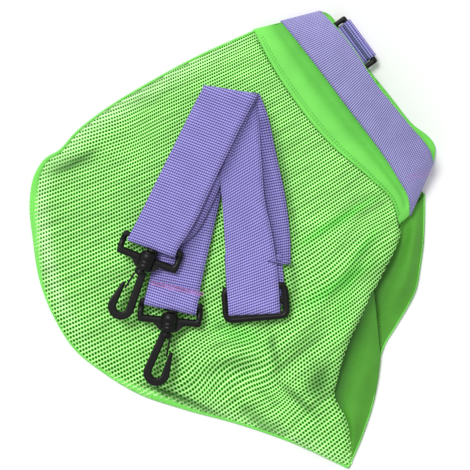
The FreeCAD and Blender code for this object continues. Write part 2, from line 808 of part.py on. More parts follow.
def build_hook(index, spot, roll):
    """Hook with its stem and head, which turns in the loop's barrel."""
    loop_turn = FreeCAD.Rotation(point(0, 0, 1), LOOP_ANGLES[index - 1])
    hook_turn = FreeCAD.Rotation(point(0, 0, 1), HOOK_ANGLES[index - 1])
    middle = point((cell("barrel_start") + cell("barrel_end")) / 2.0, 0)
    start = point(spot[0], spot[1]) + loop_turn.multVec(middle) - hook_turn.multVec(middle)

    thick = cell("hook_thick")
    flat = Part.Face(hook_outline_wire()).extrude(point(0, 0, thick))
    flat.translate(point(0, 0, -thick / 2.0))
    beyond_neck = [edge for edge in flat.Edges if edge.BoundBox.XMax > cell("shoulder_end")]
    long_edges = [edge for edge in beyond_neck if edge.BoundBox.ZLength < FLAT]
    plate = document.addObject("Part::Feature", "hook_plate_%d" % index)
    plate.Shape = flat.makeFillet(cell("hook_round"), long_edges)

    turned = []
    for name, low, high, radius in (
        ("stem", "head_start", "shoulder_end", "stem_radius"),
        ("head", "head_start", "head_end", "head_radius"),
        ("shoulder", "shoulder_start", "shoulder_end", "head_radius"),
    ):
        disc = document.addObject("Part::Cylinder", "hook_%s_%d" % (name, index))
        disc.setExpression("Radius", "sizes.%s" % radius)
        disc.setExpression("Height", "sizes.%s - sizes.%s" % (high, low))
        disc.Placement = FreeCAD.Placement(point(cell(low), 0), FreeCAD.Rotation(point(0, 1, 0), 90.0))
        turned.append(disc)
    whole = document.addObject("Part::MultiFuse", "hook_whole_%d" % index)
    whole.Shapes = [plate] + turned
    place(whole, start, cell("hook_%d_height" % index), HOOK_ANGLES[index - 1], roll)
    keep(whole, "hook_%d_body" % index)
    build_gate(index, start, roll)


def build_gate(index, start, roll):
    """Thin sprung gate from the hook's neck to the inside of its tip."""
    root = point(cell("gate_root"), cell("neck_half") - cell("gate_inset"))
    under_tip = cell("arc_outer") - cell("tip_low") - cell("gate_gap")
    tip = point(cell("tip_end") + cell("gate_overlap"), under_tip - cell("gate_thick") / 2.0)
    run = tip - root
    box = document.addObject("Part::Box", "gate_blade_%d" % index)
    box.setExpression("Height", "sizes.gate_width")
    box.setExpression("Width", "sizes.gate_thick")
    box.Length = run.Length
    turn = FreeCAD.Rotation(point(0, 0, 1), math.degrees(math.atan2(run.y, run.x)))
    corner = root + turn.multVec(point(0, -cell("gate_thick") / 2.0, -cell("gate_width") / 2.0))
    box.Placement = FreeCAD.Placement(corner, turn)
    hinge = document.addObject("Part::Cylinder", "gate_root_%d" % index)
    hinge.setExpression("Radius", "sizes.gate_pin")
    hinge.setExpression("Height", "sizes.gate_width")
    hinge.Placement = FreeCAD.Placement(root - point(0, 0, cell("gate_width") / 2.0), FreeCAD.Rotation())
    whole = document.addObject("Part::MultiFuse", "gate_whole_%d" % index)
    whole.Shapes = [box, hinge]
    place(whole, start, cell("hook_%d_height" % index), HOOK_ANGLES[index - 1], roll)
    keep(whole, "hook_%d_gate" % index)


# ---------------------------------------------------------------- whole object

build_bag_body()
build_mouth()
build_mouth_thread()
tab_tops = {}
for ring_side in RINGS:
    build_ring(ring_side)
    tab_tops[ring_side] = build_ring_tab(ring_side)
build_tab_thread(tab_tops)
build_strap()
build_slider()
build_loop(1, HOOK_1)
build_loop(2, HOOK_2)
build_hook(1, HOOK_1, 180.0)
build_hook(2, HOOK_2, 0.0)
document.recompute()

for obj in document.Objects:
    if "Invalid" in obj.State or "Error" in obj.State:
        raise RuntimeError("%s did not recompute: %s" % (obj.Name, obj.State))
os.makedirs("parts", exist_ok=True)
for obj in pieces:
    if obj.Shape.isNull() or not obj.Shape.isValid():
        raise RuntimeError("%s has no valid shape" % obj.Label)
    obj.Shape.exportStep("parts/%s.step" % obj.Label)
    print("%-24s solids %d  volume %9.1f mm3" % (obj.Label, len(obj.Shape.Solids), obj.Shape.Volume))
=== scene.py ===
import math

import bpy
import numpy as np
from mathutils import Euler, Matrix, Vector
from mathutils.bvhtree import BVHTree


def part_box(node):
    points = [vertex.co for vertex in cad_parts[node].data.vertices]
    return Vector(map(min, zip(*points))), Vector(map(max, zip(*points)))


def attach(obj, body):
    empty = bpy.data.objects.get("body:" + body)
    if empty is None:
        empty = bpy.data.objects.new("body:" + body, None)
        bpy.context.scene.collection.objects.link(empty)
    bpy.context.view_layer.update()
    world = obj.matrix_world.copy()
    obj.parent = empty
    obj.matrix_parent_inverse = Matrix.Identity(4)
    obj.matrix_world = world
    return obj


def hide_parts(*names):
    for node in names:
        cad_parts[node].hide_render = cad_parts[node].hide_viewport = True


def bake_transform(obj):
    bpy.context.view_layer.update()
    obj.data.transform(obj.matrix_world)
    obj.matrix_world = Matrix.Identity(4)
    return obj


# Mesh carrying bag lying on its woven back, with its detached shoulder strap folded on it.
# Shapes are worked out in millimetres in the frame's axes and scaled to metres when a mesh is made.

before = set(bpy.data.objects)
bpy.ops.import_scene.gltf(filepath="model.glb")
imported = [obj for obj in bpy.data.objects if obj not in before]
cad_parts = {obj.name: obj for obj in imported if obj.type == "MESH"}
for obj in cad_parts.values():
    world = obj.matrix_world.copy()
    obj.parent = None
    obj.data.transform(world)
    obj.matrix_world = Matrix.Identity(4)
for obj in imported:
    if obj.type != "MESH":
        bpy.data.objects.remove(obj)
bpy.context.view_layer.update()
scene = bpy.context.scene

MM = 0.001
WEBBING_WIDTH = 50.0
WEBBING_THICK = 1.4
CLOTH_THICK = 1.1

# Floor outline: left and bottom edge from the mouth to the right corner, then the right edge back up.
EDGE_LEFT_BOTTOM = [
    (-190, 127), (-204.6, 56), (-211, 8), (-215, -38), (-214, -78), (-209.5, -102), (-211, -116),
    (-205, -134), (-187, -154), (-153, -175), (-117, -193), (-77, -203.5), (-41, -205.5), (-8, -197),
    (33, -180), (67, -156), (115, -118), (167, -83), (213, -58),
]
EDGE_RIGHT = [
    (40, 164), (60, 149), (79.5, 133), (95, 118), (110.4, 101.6), (122, 79), (129, 62),
    (136, 45), (145, 31.8), (159, 19), (174, 3), (195, -26), (213, -56),
]
# Where the mesh ends on the right and the woven side wall begins.
SEAM_RIGHT = [
    (46, 134), (57, 117), (65.5, 102), (73, 87), (82, 69), (90.5, 52), (99, 36), (108, 19), (120, 1),
    (133, -15), (147, -29), (157, -31), (168, -32), (184, -38), (211, -55),
]

# The mouth from its seam over the webbing's lower edge to its rim:
# front line in plan, back line in plan, height at the corners, height of the crown.
MOUTH_LINES = [
    ([(-192, 125), (-157, 119), (-121, 116), (-58, 118), (-1, 130), (26, 134), (50, 126)],
     [(-192, 126), (-60, 127), (54, 127)], 9.0, 24.5),
    ([(-182, 149), (-84, 150), (11, 149), (34, 146), (49, 138)],
     [(-182, 149), (-60, 150), (47, 142)], 9.5, 25.0),
    ([(-166, 187), (-122, 187), (-72, 184), (-25, 187), (10, 190), (20, 187)],
     [(-167, 194), (-150, 194), (-93, 192.5), (-56, 194), (-25, 195), (4, 201), (19, 196)], 14.0, 50.5),
]

# Folds of the mesh: height (negative for a crease), half width, line in plan.
FOLDS = [
    (-4, 6, [(-200, -126), (-190, -100), (-184, -71)]),
    (-2.5, 5, [(-206, -20), (-192, 10), (-190, 40)]),
    (5, 6, [(30, -98), (36, -66), (44, -39)]),
    (4, 6, [(30, -98), (41, -76), (58, -49)]),
    (4, 7, [(68, -23), (59, 32), (33, 103)]),
    (4.5, 7, [(83, -52), (71, -1), (49, 64), (38, 126)]),
    (4, 8, [(117, -47), (100, 21), (84, 65)]),
    (-5, 2.6, [(22, -172), (69, -147), (108, -121)]),
    (2.5, 5, [(20, -160), (60, -138), (104, -110)]),
    (5, 6, [(83, -94), (120, -85), (161, -79), (198, -63)]),
    (-5, 7, [(95, -108), (130, -100), (165, -88)]),
    (4, 7, [(15, -127), (16, -97), (22, -73)]),
    (-4, 8, [(52, -120), (60, -95), (78, -70)]),
    (-3, 8, [(95, -70), (92, -30), (80, 20)]),
    (2, 5, [(24, 73), (9, 116)]),
    (2, 5, [(-10, 40), (2, 70), (0, 110)]),
]
# Where the mesh is drawn together and looks a fuller green: strength, half width, line in plan.
DRAWN = [
    (0.9, 4.5, [(13, 128), (11, 96), (8, 65), (7, 29)]),
    (0.9, 6, [(63, 80), (60, 54), (59, 24), (56, -2)]),
    (0.7, 5, [(38, 107), (48, 76), (54, 58)]),
    (0.4, 8, [(55, 62), (76, 38), (104, 9)]),
    (0.6, 9, [(14, -83), (31, -73), (60, -50)]),
]
# Painted shade on the mesh, in its creases and as the shadow beside the strap and slider: strength, half
# width, line in plan.
PAINTED_SHADE_LINES = [
    (0.5, 5, [(-120, 90), (-82, 73), (-37, 52), (3, 30), (17, 16)]),
    (0.4, 5, [(17, 16), (40, 4), (55, -14)]),
    (0.4, 5, [(56, -20), (40, -50), (26, -70)]),
    (0.5, 5, [(56, -38), (74, -47), (94, -56)]),
    (0.4, 6, [(14, -83), (31, -73), (47, -56)]),
    (0.5, 4, [(100, -62), (125, -57), (151, -52)]),
    (0.3, 5, [(88, -86), (110, -81), (129, -75)]),
    (0.75, 14, [(106, -8), (120, -26), (142, -44)]),
    (0.8, 2.6, [(23, -174), (45, -157), (67, -143), (90, -130)]),
    (0.4, 3, [(-196, -124), (-191, -103), (-189, -82), (-188, -66)]),
]
# Where the mesh is pulled sideways: centre, radius, shift.
PULLS = [
    ((54, -95), 28, (-7, 5)),
    ((100, -60), 24, (5, -5)),
    ((126, -47), 22, (-4, -5)),
    ((60, 32), 30, (4, 4)),
    ((40, 90), 26, (-4, 2)),
    ((-190, -40), 30, (4, 6)),
    ((60, -140), 24, (5, 4)),
]

# ---- lines and surfaces

FINE_STEPS = 20
FOLD_POINTS = 12


def run_along(line):
    """Distance along a line at each of its points."""
    return np.concatenate([[0.0], np.cumsum(np.linalg.norm(np.diff(line, axis=0), axis=1))])


def directions(line, closed=False):
    """Unit direction of a line at each of its points."""
    onward = np.roll(line, -1, axis=0) - np.roll(line, 1, axis=0) if closed else np.gradient(line, axis=0)
    return onward / np.linalg.norm(onward, axis=1)[:, None]


def leftward(line):
    """Unit direction to the left of a line in plan at each of its points."""
    onward = directions(line)
    return np.column_stack([-onward[:, 1], onward[:, 0]])


def smooth_line(spots, count):
    """count points evenly spaced along a smooth line through spots."""
    spots = np.asarray(spots, float)
    at = run_along(spots)
    slope = np.gradient(spots, at, axis=0)
    fine = np.linspace(0.0, at[-1], FINE_STEPS * len(spots))
    index = np.clip(np.searchsorted(at, fine, side="right") - 1, 0, len(spots) - 2)
    span = (at[index + 1] - at[index])[:, None]
    t = (fine[:, None] - at[index][:, None]) / span
    curve = (
        (2 * t**3 - 3 * t**2 + 1) * spots[index] + (t**3 - 2 * t**2 + t) * span * slope[index]
        + (3 * t**2 - 2 * t**3) * spots[index + 1] + (t**3 - t**2) * span * slope[index + 1]
    )
    length = run_along(curve)
    even = np.linspace(0.0, length[-1], count)
    return np.column_stack([np.interp(even, length, curve[:, k]) for k in range(curve.shape[1])])


def ease(t):
    """Smooth step from 0 to 1."""
    t = np.clip(t, 0.0, 1.0)
    return t * t * (3.0 - 2.0 * t)


def bell(value, centre, wide):
    """Soft bump of height 1 round a centre."""
    return np.exp(-(((value - centre) / wide) ** 2))


def arch(t, margin, power):
    """Rise and fall from 0 to 1, flatter on top the smaller the power, held level in the margins."""
    return np.sin(np.pi * np.clip(t, margin, 1.0 - margin)) ** power


def to_line(x, y, line):
    """Distance of points to a line in plan, where along it they are nearest from 0 to 1, and their side."""
    line = np.asarray(line, float)
    at = run_along(line)
    best = np.full(x.shape, np.inf)
    where = np.zeros(x.shape)
    side = np.ones(x.shape)
    for k, (a, b) in enumerate(zip(line, line[1:])):
        d = b - a
        t = np.clip(((x - a[0]) * d[0] + (y - a[1]) * d[1]) / (d @ d), 0.0, 1.0)
        gap = np.hypot(x - a[0] - t * d[0], y - a[1] - t * d[1])
        near = gap < best
        best[near] = gap[near]
        where[near] = ((at[k] + t * (at[k + 1] - at[k])) / at[-1])[near]
        side[near] = np.sign(d[0] * (y - a[1]) - d[1] * (x - a[0]))[near]
    return best, where, side


def side_of(x, y, line):
    """Signed distance to a line in plan, positive on its left."""
    gap, _, side = to_line(x, y, line)
    return gap * side


def box_mm(node):
    """Lowest and highest corners of a CAD node in millimetres."""
    return [np.array(corner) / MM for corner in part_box(node)]


def height_map(node, step=4.0, rounds=3, margin=40.0, above=200.0):
    """Function of plan arrays that gives the top of a CAD node, carried on smoothly past its edges."""
    tree = BVHTree.FromObject(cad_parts[node], bpy.context.evaluated_depsgraph_get())
    low, high = box_mm(node)
    xs = np.arange(low[0] - margin, high[0] + margin, step)
    ys = np.arange(low[1] - margin, high[1] + margin, step)
    grid = np.full((len(xs), len(ys)), np.nan)
    for i, x in enumerate(xs):
        for j, y in enumerate(ys):
            hit = tree.ray_cast(Vector((x * MM, y * MM, above * MM)), Vector((0, 0, -1)))[0]
            if hit:
                grid[i, j] = hit.z / MM
    while np.isnan(grid).any():
        grid = np.where(np.isnan(grid), neighbour_mean(grid), grid)
    for _ in range(rounds):
        grid = 0.5 * grid + 0.5 * neighbour_mean(grid)

    def height(x, y):
        # Held just inside the last cell.
        u = np.clip((x - xs[0]) / step, 0, len(xs) - 1.001)
        v = np.clip((y - ys[0]) / step, 0, len(ys) - 1.001)
        i, j = u.astype(int), v.astype(int)
        a, b = u - i, v - j
        return (
            (1 - a) * (1 - b) * grid[i, j] + a * (1 - b) * grid[i + 1, j]
            + (1 - a) * b * grid[i, j + 1] + a * b * grid[i + 1, j + 1]
        )

    return height


def neighbour_mean(grid):
    """Mean of the known neighbours of each cell."""
    padded = np.pad(grid, 1, constant_values=np.nan)
    rows, columns = grid.shape
    around = np.stack([
        padded[1 + i:1 + i + rows, 1 + j:1 + j + columns]
        for i, j in ((-1, 0), (1, 0), (0, -1), (0, 1))
    ])
    known = ~np.isnan(around)
    count = known.sum(axis=0)
    total = np.where(known, around, 0.0).sum(axis=0)
    return np.where(count > 0, total / np.maximum(count, 1), np.nan)


def fold_height(x, y, folds):
    """Sum of soft ridges, each fading at its ends."""
    total = np.zeros(x.shape)
    for height, wide, spots in folds:
        gap, where, _ = to_line(x, y, smooth_line(spots, FOLD_POINTS))
        total += height * bell(gap, 0.0, wide) * arch(where, margin=0.04, power=0.6)
    return total


# ---- pieces


def mesh_object(name, points, faces, cloth=None):
    """Mesh from points in millimetres, with the place of each point on its flat cloth."""
    mesh = bpy.data.meshes.new(name)
    mesh.from_pydata((np.asarray(points) * MM).tolist(), [], [tuple(int(v) for v in f) for f in faces])
    mesh.polygons.foreach_set("use_smooth", [True] * len(mesh.polygons))
    if cloth is not None:
        attribute = mesh.attributes.new("cloth", "FLOAT_VECTOR", "POINT")
        attribute.data.foreach_set("vector", np.asarray(cloth, np.float32).ravel())
    obj = bpy.data.objects.new(name, mesh)
    scene.collection.objects.link(obj)
    return obj


def set_attribute(obj, label, values):
    """One number for each point, which the materials read."""
    attribute = obj.data.attributes.new(label, "FLOAT", "POINT")
    attribute.data.foreach_set("value", np.asarray(values, np.float32))


def grid_faces(rows, columns, first=0):
    """Faces of a grid of points whose numbers start at first."""
    i, j = np.meshgrid(np.arange(rows - 1), np.arange(columns - 1), indexing="ij")
    a = first + i * columns + j
    return np.stack([a, a + 1, a + columns + 1, a + columns], axis=-1).reshape(-1, 4)


def ring_faces(count, sides, first=0, closed=False):
    """Faces between neighbouring rings of points."""
    faces = []
    for ring in range(count if closed else count - 1):
        here, after = first + ring * sides, first + (ring + 1) % count * sides
        for k in range(sides):
            j = (k + 1) % sides
            faces.append((here + k, here + j, after + j, after + k))
    return faces


def lengths(grid, axis):
    """Length of cloth from the grid's first row to each row, the same all along the row."""
    steps = np.linalg.norm(np.diff(grid, axis=axis), axis=2).mean(axis=1 - axis)
    total = np.concatenate([[0.0], np.cumsum(steps)])
    shape = (-1, 1) if axis == 0 else (1, -1)
    return np.broadcast_to(total.reshape(shape), grid.shape[:2])


def sheet_object(name, grids, cloths=None, thick=CLOTH_THICK):
    """One object of one or more cloth grids, each an array of rows of points."""
    points, faces, places = [], [], []
    first = 0
    for k, grid in enumerate(grids):
        rows, columns = grid.shape[:2]
        faces.append(grid_faces(rows, columns, first))
        points.append(grid.reshape(-1, 3))
        first += rows * columns
        flat = np.stack([lengths(grid, 0), lengths(grid, 1), np.zeros((rows, columns))], axis=-1)
        places.append((cloths[k] if cloths else flat).reshape(-1, 3))
    obj = mesh_object(name, np.concatenate(points), np.concatenate(faces), np.concatenate(places))
    modifier = obj.modifiers.new("thickness", "SOLIDIFY")
    modifier.thickness = thick * MM
    modifier.offset = 0.0
    return obj


def ribbon(left, right, count, slant=(0.0, 0.0), columns=9, bow=0.4):
    """Grid and cloth places of a strap between two edge lines.

    slant is how far the ribs lean from square at its start and end, as a share of the width.
    """
    a = smooth_line(left, count)
    b = smooth_line(right, count)
    t = np.linspace(0.0, 1.0, columns)[None, :, None]
    grid = a[:, None, :] * (1 - t) + b[:, None, :] * t
    grid[:, :, 2] += bow * (1.0 - (2.0 * t[:, :, 0] - 1.0) ** 2)
    onward = a[-1] - a[0]
    skew = (b[0] - a[0]) @ onward / np.linalg.norm(onward)
    along = run_along(a)[:, None] * (1 - t[:, :, 0]) + (run_along(b)[:, None] + skew) * t[:, :, 0]
    across = np.broadcast_to(WEBBING_WIDTH * t[:, :, 0], along.shape)
    along = along + np.linspace(*slant, count)[:, None] * across
    return grid, np.stack([along, across, np.zeros(along.shape)], axis=-1)


# One stitch: share of its length, radius and lift as shares of the thread's radius.
STITCH = [(0.0, 0.35, -0.3), (0.2, 0.9, 0.1), (0.5, 1.0, 0.35), (0.8, 0.9, 0.1), (1.0, 0.35, -0.3)]


def stitches(name, ends, radius=0.35, sides=6):
    """Raised stitches, each a short arched thread between two ends."""
    points, faces = [], []
    for start, end in ends:
        start, end = np.asarray(start, float), np.asarray(end, float)
        onward = (end - start) / np.linalg.norm(end - start)
        side = np.cross(onward, (0.0, 0.0, 1.0))
        side /= np.linalg.norm(side)
        up = np.cross(side, onward)
        faces += ring_faces(len(STITCH), sides, first=len(points))
        for at, wide, lift in STITCH:
            centre = start + (end - start) * at + up * lift * radius
            for k in range(sides):
                turn = 2.0 * math.pi * k / sides
                points.append(centre + radius * wide * (math.cos(turn) * side + math.sin(turn) * up))
    return mesh_object(name, points, faces)


def along_stitches(line, length, gap, steps=4):
    """Ends of stitches that follow a line."""
    line = np.asarray(line, float)
    count = int(run_along(line)[-1] / (length + gap))
    spots = smooth_line(line, steps * count + 1)
    share = max(1, round(steps * length / (length + gap)))
    return [(spots[steps * k], spots[steps * k + share]) for k in range(count)]


def install(obj, body, material, slot, *nodes):
    """Gives a piece its material and body, and the CAD nodes that it stands for; slot is not used."""
    obj.data.materials.clear()
    obj.data.materials.append(material)
    if body:
        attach(obj, body)
    if nodes:
        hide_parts(*nodes)
    return obj


# ---- materials


class Nodes:
    """Builds one material's nodes, with its Principled shader."""

    def __init__(self, name, roughness, sheen=0.0, specular=0.3):
        self.material = bpy.data.materials.new(name)
        self.material.use_nodes = True
        self.tree = self.material.node_tree
        self.shader = self.tree.nodes["Principled BSDF"]
        looks = {"Roughness": roughness, "Specular IOR Level": specular, "Sheen Weight": sheen}
        for key, value in looks.items():
            self.shader.inputs[key].default_value = value

    def feed(self, socket, value):
        if isinstance(value, bpy.types.NodeSocket):
            self.tree.links.new(value, socket)
        else:
            socket.default_value = value

    def add(self, kind):
        return self.tree.nodes.new("ShaderNode" + kind)

    def math(self, operation, *values):
        node = self.add("Math")
        node.operation = operation
        for socket, value in zip(node.inputs, values):
            self.feed(socket, value)
        return node.outputs[0]

    def attribute(self, name, output="Fac"):
        node = self.add("Attribute")
        node.attribute_name = name
        return node.outputs[output]

    def spot(self):
        """Place in the object's own axes."""
        return self.add("TexCoord").outputs["Object"]

    def place(self, vector):
        """X and Y of a vector."""
        split = self.add("SeparateXYZ")
        self.feed(split.inputs[0], vector)
        return split.outputs[0], split.outputs[1]

    def scaled(self, vector, scale):
        node = self.add("VectorMath")
        node.operation = "MULTIPLY"
        self.feed(node.inputs[0], vector)
        node.inputs[1].default_value = scale
        return node.outputs[0]

    def noise(self, scale, detail=2.0, vector=None):
        node = self.add("TexNoise")
        node.inputs["Scale"].default_value = scale
        node.inputs["Detail"].default_value = detail
        self.feed(node.inputs["Vector"], vector or self.spot())
        return node.outputs["Fac"]

    def wave(self, value):
        """0 at whole numbers and 1 half way between."""
        return self.math("ABSOLUTE", self.math("SINE", self.math("MULTIPLY", value, math.pi)))

    def ramp(self, factor, *stops):
        node = self.add("ValToRGB")
        elements = node.color_ramp.elements
        while len(elements) < len(stops):
            elements.new(0.5)
        for element, (at, colour) in zip(elements, stops):
            element.position = at
            element.color = (*colour, 1.0)
        self.feed(node.inputs["Fac"], factor)
        return node.outputs["Color"]

    def mix(self, factor, first, second, blend="MIX"):
        node = self.add("Mix")
        node.data_type = "RGBA"
        node.blend_type = blend
        self.feed(node.inputs["Factor"], factor)
        self.feed(node.inputs[6], first)
        self.feed(node.inputs[7], second)
        return node.outputs[2]

    def shade(self, colour, factor, low, high):
        """Colour scaled between low and high by a factor from 0 to 1."""
        scale = self.ramp(factor, (0.3, (low,) * 3), (0.7, (high,) * 3))
        return self.mix(1.0, colour, scale, "MULTIPLY")

    def paint_shade(self, colour, dark):
        """Painted shade: colour mixed towards a darker one by a mask of where shade falls, in creases,
        under other layers and beside their edges.
        """
        return self.mix(self.attribute("painted_shade"), colour, (*linear(*dark), 1.0))

    def finish(self, colour, height, depth):
        """Material with this colour and a relief of this depth in millimetres."""
        self.feed(self.shader.inputs["Base Color"], colour)
        bump = self.add("Bump")
        bump.inputs["Distance"].default_value = depth * MM
        bump.inputs["Strength"].default_value = 1.0
        self.feed(bump.inputs["Height"], height)
        self.feed(self.shader.inputs["Normal"], bump.outputs["Normal"])
        return self.material


def linear(red, green, blue):
    """Linear colour from 8-bit display values."""
    return tuple(
        c / 12.92 if c <= 0.04045 else ((c + 0.055) / 1.055) ** 2.4
        for c in (red / 255, green / 255, blue / 255)
    )


def webbing_material(name, dark, pale, rib, bump, depth, stagger=0.0):
    """Ribbed webbing: ribs across the strap, broken into bumps, each rib shifted by a share of a bump."""
    nodes = Nodes(name, 0.62, sheen=0.1)
    along, across = nodes.place(nodes.attribute("cloth", "Vector"))
    row = nodes.math("DIVIDE", along, rib)
    shift = nodes.math("MULTIPLY", nodes.math("FLOOR", row), stagger)
    column = nodes.math("ADD", nodes.math("DIVIDE", across, bump), shift)
    height = nodes.math(
        "MULTIPLY", nodes.wave(row),
        nodes.math("MULTIPLY_ADD", nodes.wave(column), 0.72, 0.28),
    )
    colour = nodes.ramp(height, (0.05, linear(*dark)), (0.7, linear(*pale)))
    # Painted shade towards the dark rib colour where the strap's mask asks for it.
    colour = nodes.paint_shade(colour, dark)
    return nodes.finish(nodes.shade(colour, nodes.noise(60.0), 0.93, 1.05), height, depth)


def plain_weave_material(name, dark, pale, painted_shade, pitch=0.8, depth=0.12):
    """Fine plain weave, with a third colour for its painted shade."""
    nodes = Nodes(name, 0.6, sheen=0.1)
    along, across = nodes.place(nodes.attribute("cloth", "Vector"))
    weave = nodes.math(
        "MULTIPLY", nodes.wave(nodes.math("DIVIDE", along, pitch)),
        nodes.wave(nodes.math("DIVIDE", across, pitch)),
    )
    colour = nodes.ramp(weave, (0.0, linear(*dark)), (0.8, linear(*pale)))
    colour = nodes.paint_shade(colour, painted_shade)
    return nodes.finish(nodes.shade(colour, nodes.noise(45.0, 4.0), 0.94, 1.05), weave, depth)


def twill_material(name, dark, pale, painted_shade, pitch=1.6, depth=0.2, slope=0.6):
    """Twill with slanting broken lines, with a third colour for its painted shade."""
    nodes = Nodes(name, 0.6, sheen=0.1)
    x, y = nodes.place(nodes.scaled(nodes.spot(), (1.0 / MM,) * 3))
    lines = nodes.wave(nodes.math("DIVIDE", nodes.math("MULTIPLY_ADD", y, slope, x), pitch))
    steps = nodes.wave(nodes.math("DIVIDE", nodes.math("MULTIPLY_ADD", x, -slope, y), pitch))
    height = nodes.math("MULTIPLY", lines, nodes.math("MULTIPLY_ADD", steps, 0.4, 0.6))
    colour = nodes.ramp(height, (0.0, linear(*dark)), (0.8, linear(*pale)))
    colour = nodes.shade(colour, nodes.noise(40.0, 4.0), 0.88, 1.08)
    return nodes.finish(nodes.paint_shade(colour, painted_shade), height, depth)


# The mesh's colour at the rim of a hole, on its shoulder and on the ridge between two rows of holes; the
# dark rim is painted shade in the holes and the pale ridge a painted highlight.
RIDGE_STOPS = (0.0, 0.4, 1.0)
FRESH = ((2, 78, 0), (114, 242, 68), (252, 255, 214))
DRAWN_TOGETHER = ((14, 124, 10), (80, 226, 58), (170, 254, 132))
# Painted highlight where the edge of the mesh shows pale.
PALE_HIGHLIGHT = ((112, 214, 84), (190, 248, 158), (250, 255, 236))
MESH_PAINTED_SHADE = (8, 92, 6)
STREAK_SCALE = (0.02, 0.22, 0.0)


def mesh_material(name):
    """Open knitted mesh: painted highlight on the ridges between the rows of holes, painted shade at their
    rims, painted highlight on pale edges and painted shade in creases and beside the strap.
    """
    nodes = Nodes(name, 0.5, sheen=0.1, specular=0.4)
    ridge = nodes.attribute("ridge")
    fresh, drawn, highlighted = [
        nodes.ramp(ridge, *zip(RIDGE_STOPS, (linear(*shade) for shade in shades)))
        for shades in (FRESH, DRAWN_TOGETHER, PALE_HIGHLIGHT)
    ]
    colour = nodes.mix(nodes.attribute("drawn"), fresh, drawn)
    # Painted highlight on the pale edges.
    colour = nodes.mix(nodes.attribute("painted_highlight"), colour, highlighted)
    stretch = nodes.scaled(nodes.attribute("cloth", "Vector"), STREAK_SCALE)
    colour = nodes.shade(colour, nodes.noise(1.0, vector=stretch), 0.84, 1.28)
    # Painted shade in the creases and beside the strap, then a random tone.
    colour = nodes.shade(nodes.paint_shade(colour, MESH_PAINTED_SHADE), nodes.noise(25.0, 5.0), 0.9, 1.08)
    return nodes.finish(colour, nodes.noise(1500.0), 0.15)


def plastic_material(name):
    """Moulded black plastic with a fine grain."""
    nodes = Nodes(name, 0.4, specular=0.25)
    colour = nodes.ramp(nodes.noise(70.0, 4.0), (0.3, linear(2, 3, 2)), (0.75, linear(9, 11, 8)))
    return nodes.finish(colour, nodes.noise(900.0), 0.08)


def thread_material(name, dark, pale):
    """Twisted sewing thread."""
    nodes = Nodes(name, 0.55, sheen=0.2)
    colour = nodes.ramp(nodes.noise(900.0), (0.3, linear(*dark)), (0.7, linear(*pale)))
    return nodes.finish(colour, nodes.noise(2500.0), 0.1)


MESH = mesh_material("mesh_fabric")
BACK = twill_material("woven_back", (38, 106, 18), (94, 176, 54), painted_shade=(24, 70, 14))
BAND = plain_weave_material("hem_cloth", (106, 214, 78), (136, 236, 104), painted_shade=(20, 120, 10))
STRAP = webbing_material("strap_webbing", (8, 3, 70), (180, 170, 254), rib=2.6, bump=2.1, depth=0.7)
MOUTH = webbing_material(
    "mouth_webbing", (22, 18, 92), (192, 186, 250), rib=2.0, bump=1.9, depth=0.6, stagger=0.5,
)
PLASTIC = plastic_material("black_plastic")
PINK = thread_material("lilac_thread", (184, 110, 176), (214, 146, 206))
GREEN = thread_material("green_thread", (60, 150, 44), (84, 176, 62))

# ---- bag: mesh front

# The holes: distance in a row and between rows, reach of their points, fan and turn of the rows.
MESH_PITCH = 2.75
MESH_ROW = 3.5
MESH_TIP = 2.15
ROW_FAN = complex(-0.0005, -0.0008)
ROW_TURN = math.radians(5.0)
# Each hole's inner rim as shares of its outer one, and how high the mesh stands between the holes.
HOLE_LENGTH, HOLE_WIDTH = 0.42, 0.5
RIDGE_HEIGHT = 0.7
SIDE_RIDGE = 0.45
HOLE_DROP = 0.4
POINTS_PER_MM = 50

# How the mesh ends: inside the binding, rolled over at the seam and tucked under the hem band.
EDGE_ROLL = 1.3
RIM_ROLL = 0.8
SEAM_TUCK = 3.0
ROLL_START, ROLL_WIDE, ROLL_DROP = 6.0, 10.0, 9.0
BAND_TUCK = 2.5
TUCK_WIDE, TUCK_DROP = 4.0, 4.0
CORNER_START, CORNER_WIDE, CORNER_DROP = 25.0, 20.0, 8.0
MESH_SINK = 0.6
LOWEST_MESH = 2.2

# Painted shade in the creases for each millimetre of fold depth, and the most that any of the mesh's colour
# masks reaches.
CREASE_SHADE = 0.1
MOST_SHADE = 0.9
# Where painted highlight pales the edge: strength, distance inward and half width, share of the edge and
# half width.
PALE_SPOTS = [(1.0, 0.0, 13.0, 0.2, 0.17), (0.8, 13.0, 7.0, 0.47, 0.1)]
# The same for the bottom edge, which stays pale with painted highlight to its end.
PALE_BOTTOM, BOTTOM_WIDE, BOTTOM_START, BOTTOM_RISE = 0.4, 12.0, 0.66, 0.1

EDGE_LINE = smooth_line(EDGE_LEFT_BOTTOM, 120)
SEAM_LINE = smooth_line(SEAM_RIGHT[::-1], 60)
BAND_LINE = smooth_line(MOUTH_LINES[0][0], 60)

panel_top = height_map("mesh_panel")


def past_band(x, y):
    """How far a place lies past the lower edge of the mouth's hem band."""
    return y - np.interp(x, BAND_LINE[:, 0], BAND_LINE[:, 1])


def mesh_height(x, y):
    """Height of the mesh: the panel with its folds, rolled over at the seam and tucked under the band."""
    roll = np.clip((ROLL_START - side_of(x, y, SEAM_LINE)) / ROLL_WIDE, 0.0, 1.0)
    tuck = ease((past_band(x, y) + TUCK_WIDE) / TUCK_WIDE)
    tuck_drop = TUCK_DROP + CORNER_DROP * ease((x - CORNER_START) / CORNER_WIDE)
    height = panel_top(x, y) - MESH_SINK + fold_height(x, y, FOLDS)
    return np.maximum(height - ROLL_DROP * roll**2 - tuck_drop * tuck, LOWEST_MESH)


def pulled(x, y):
    """Plan points moved by the sideways pulls."""
    for (centre_x, centre_y), radius, (shift_x, shift_y) in PULLS:
        share = np.exp(-((x - centre_x) ** 2 + (y - centre_y) ** 2) / radius**2)
        x = x + shift_x * share
        y = y + shift_y * share
    return x, y


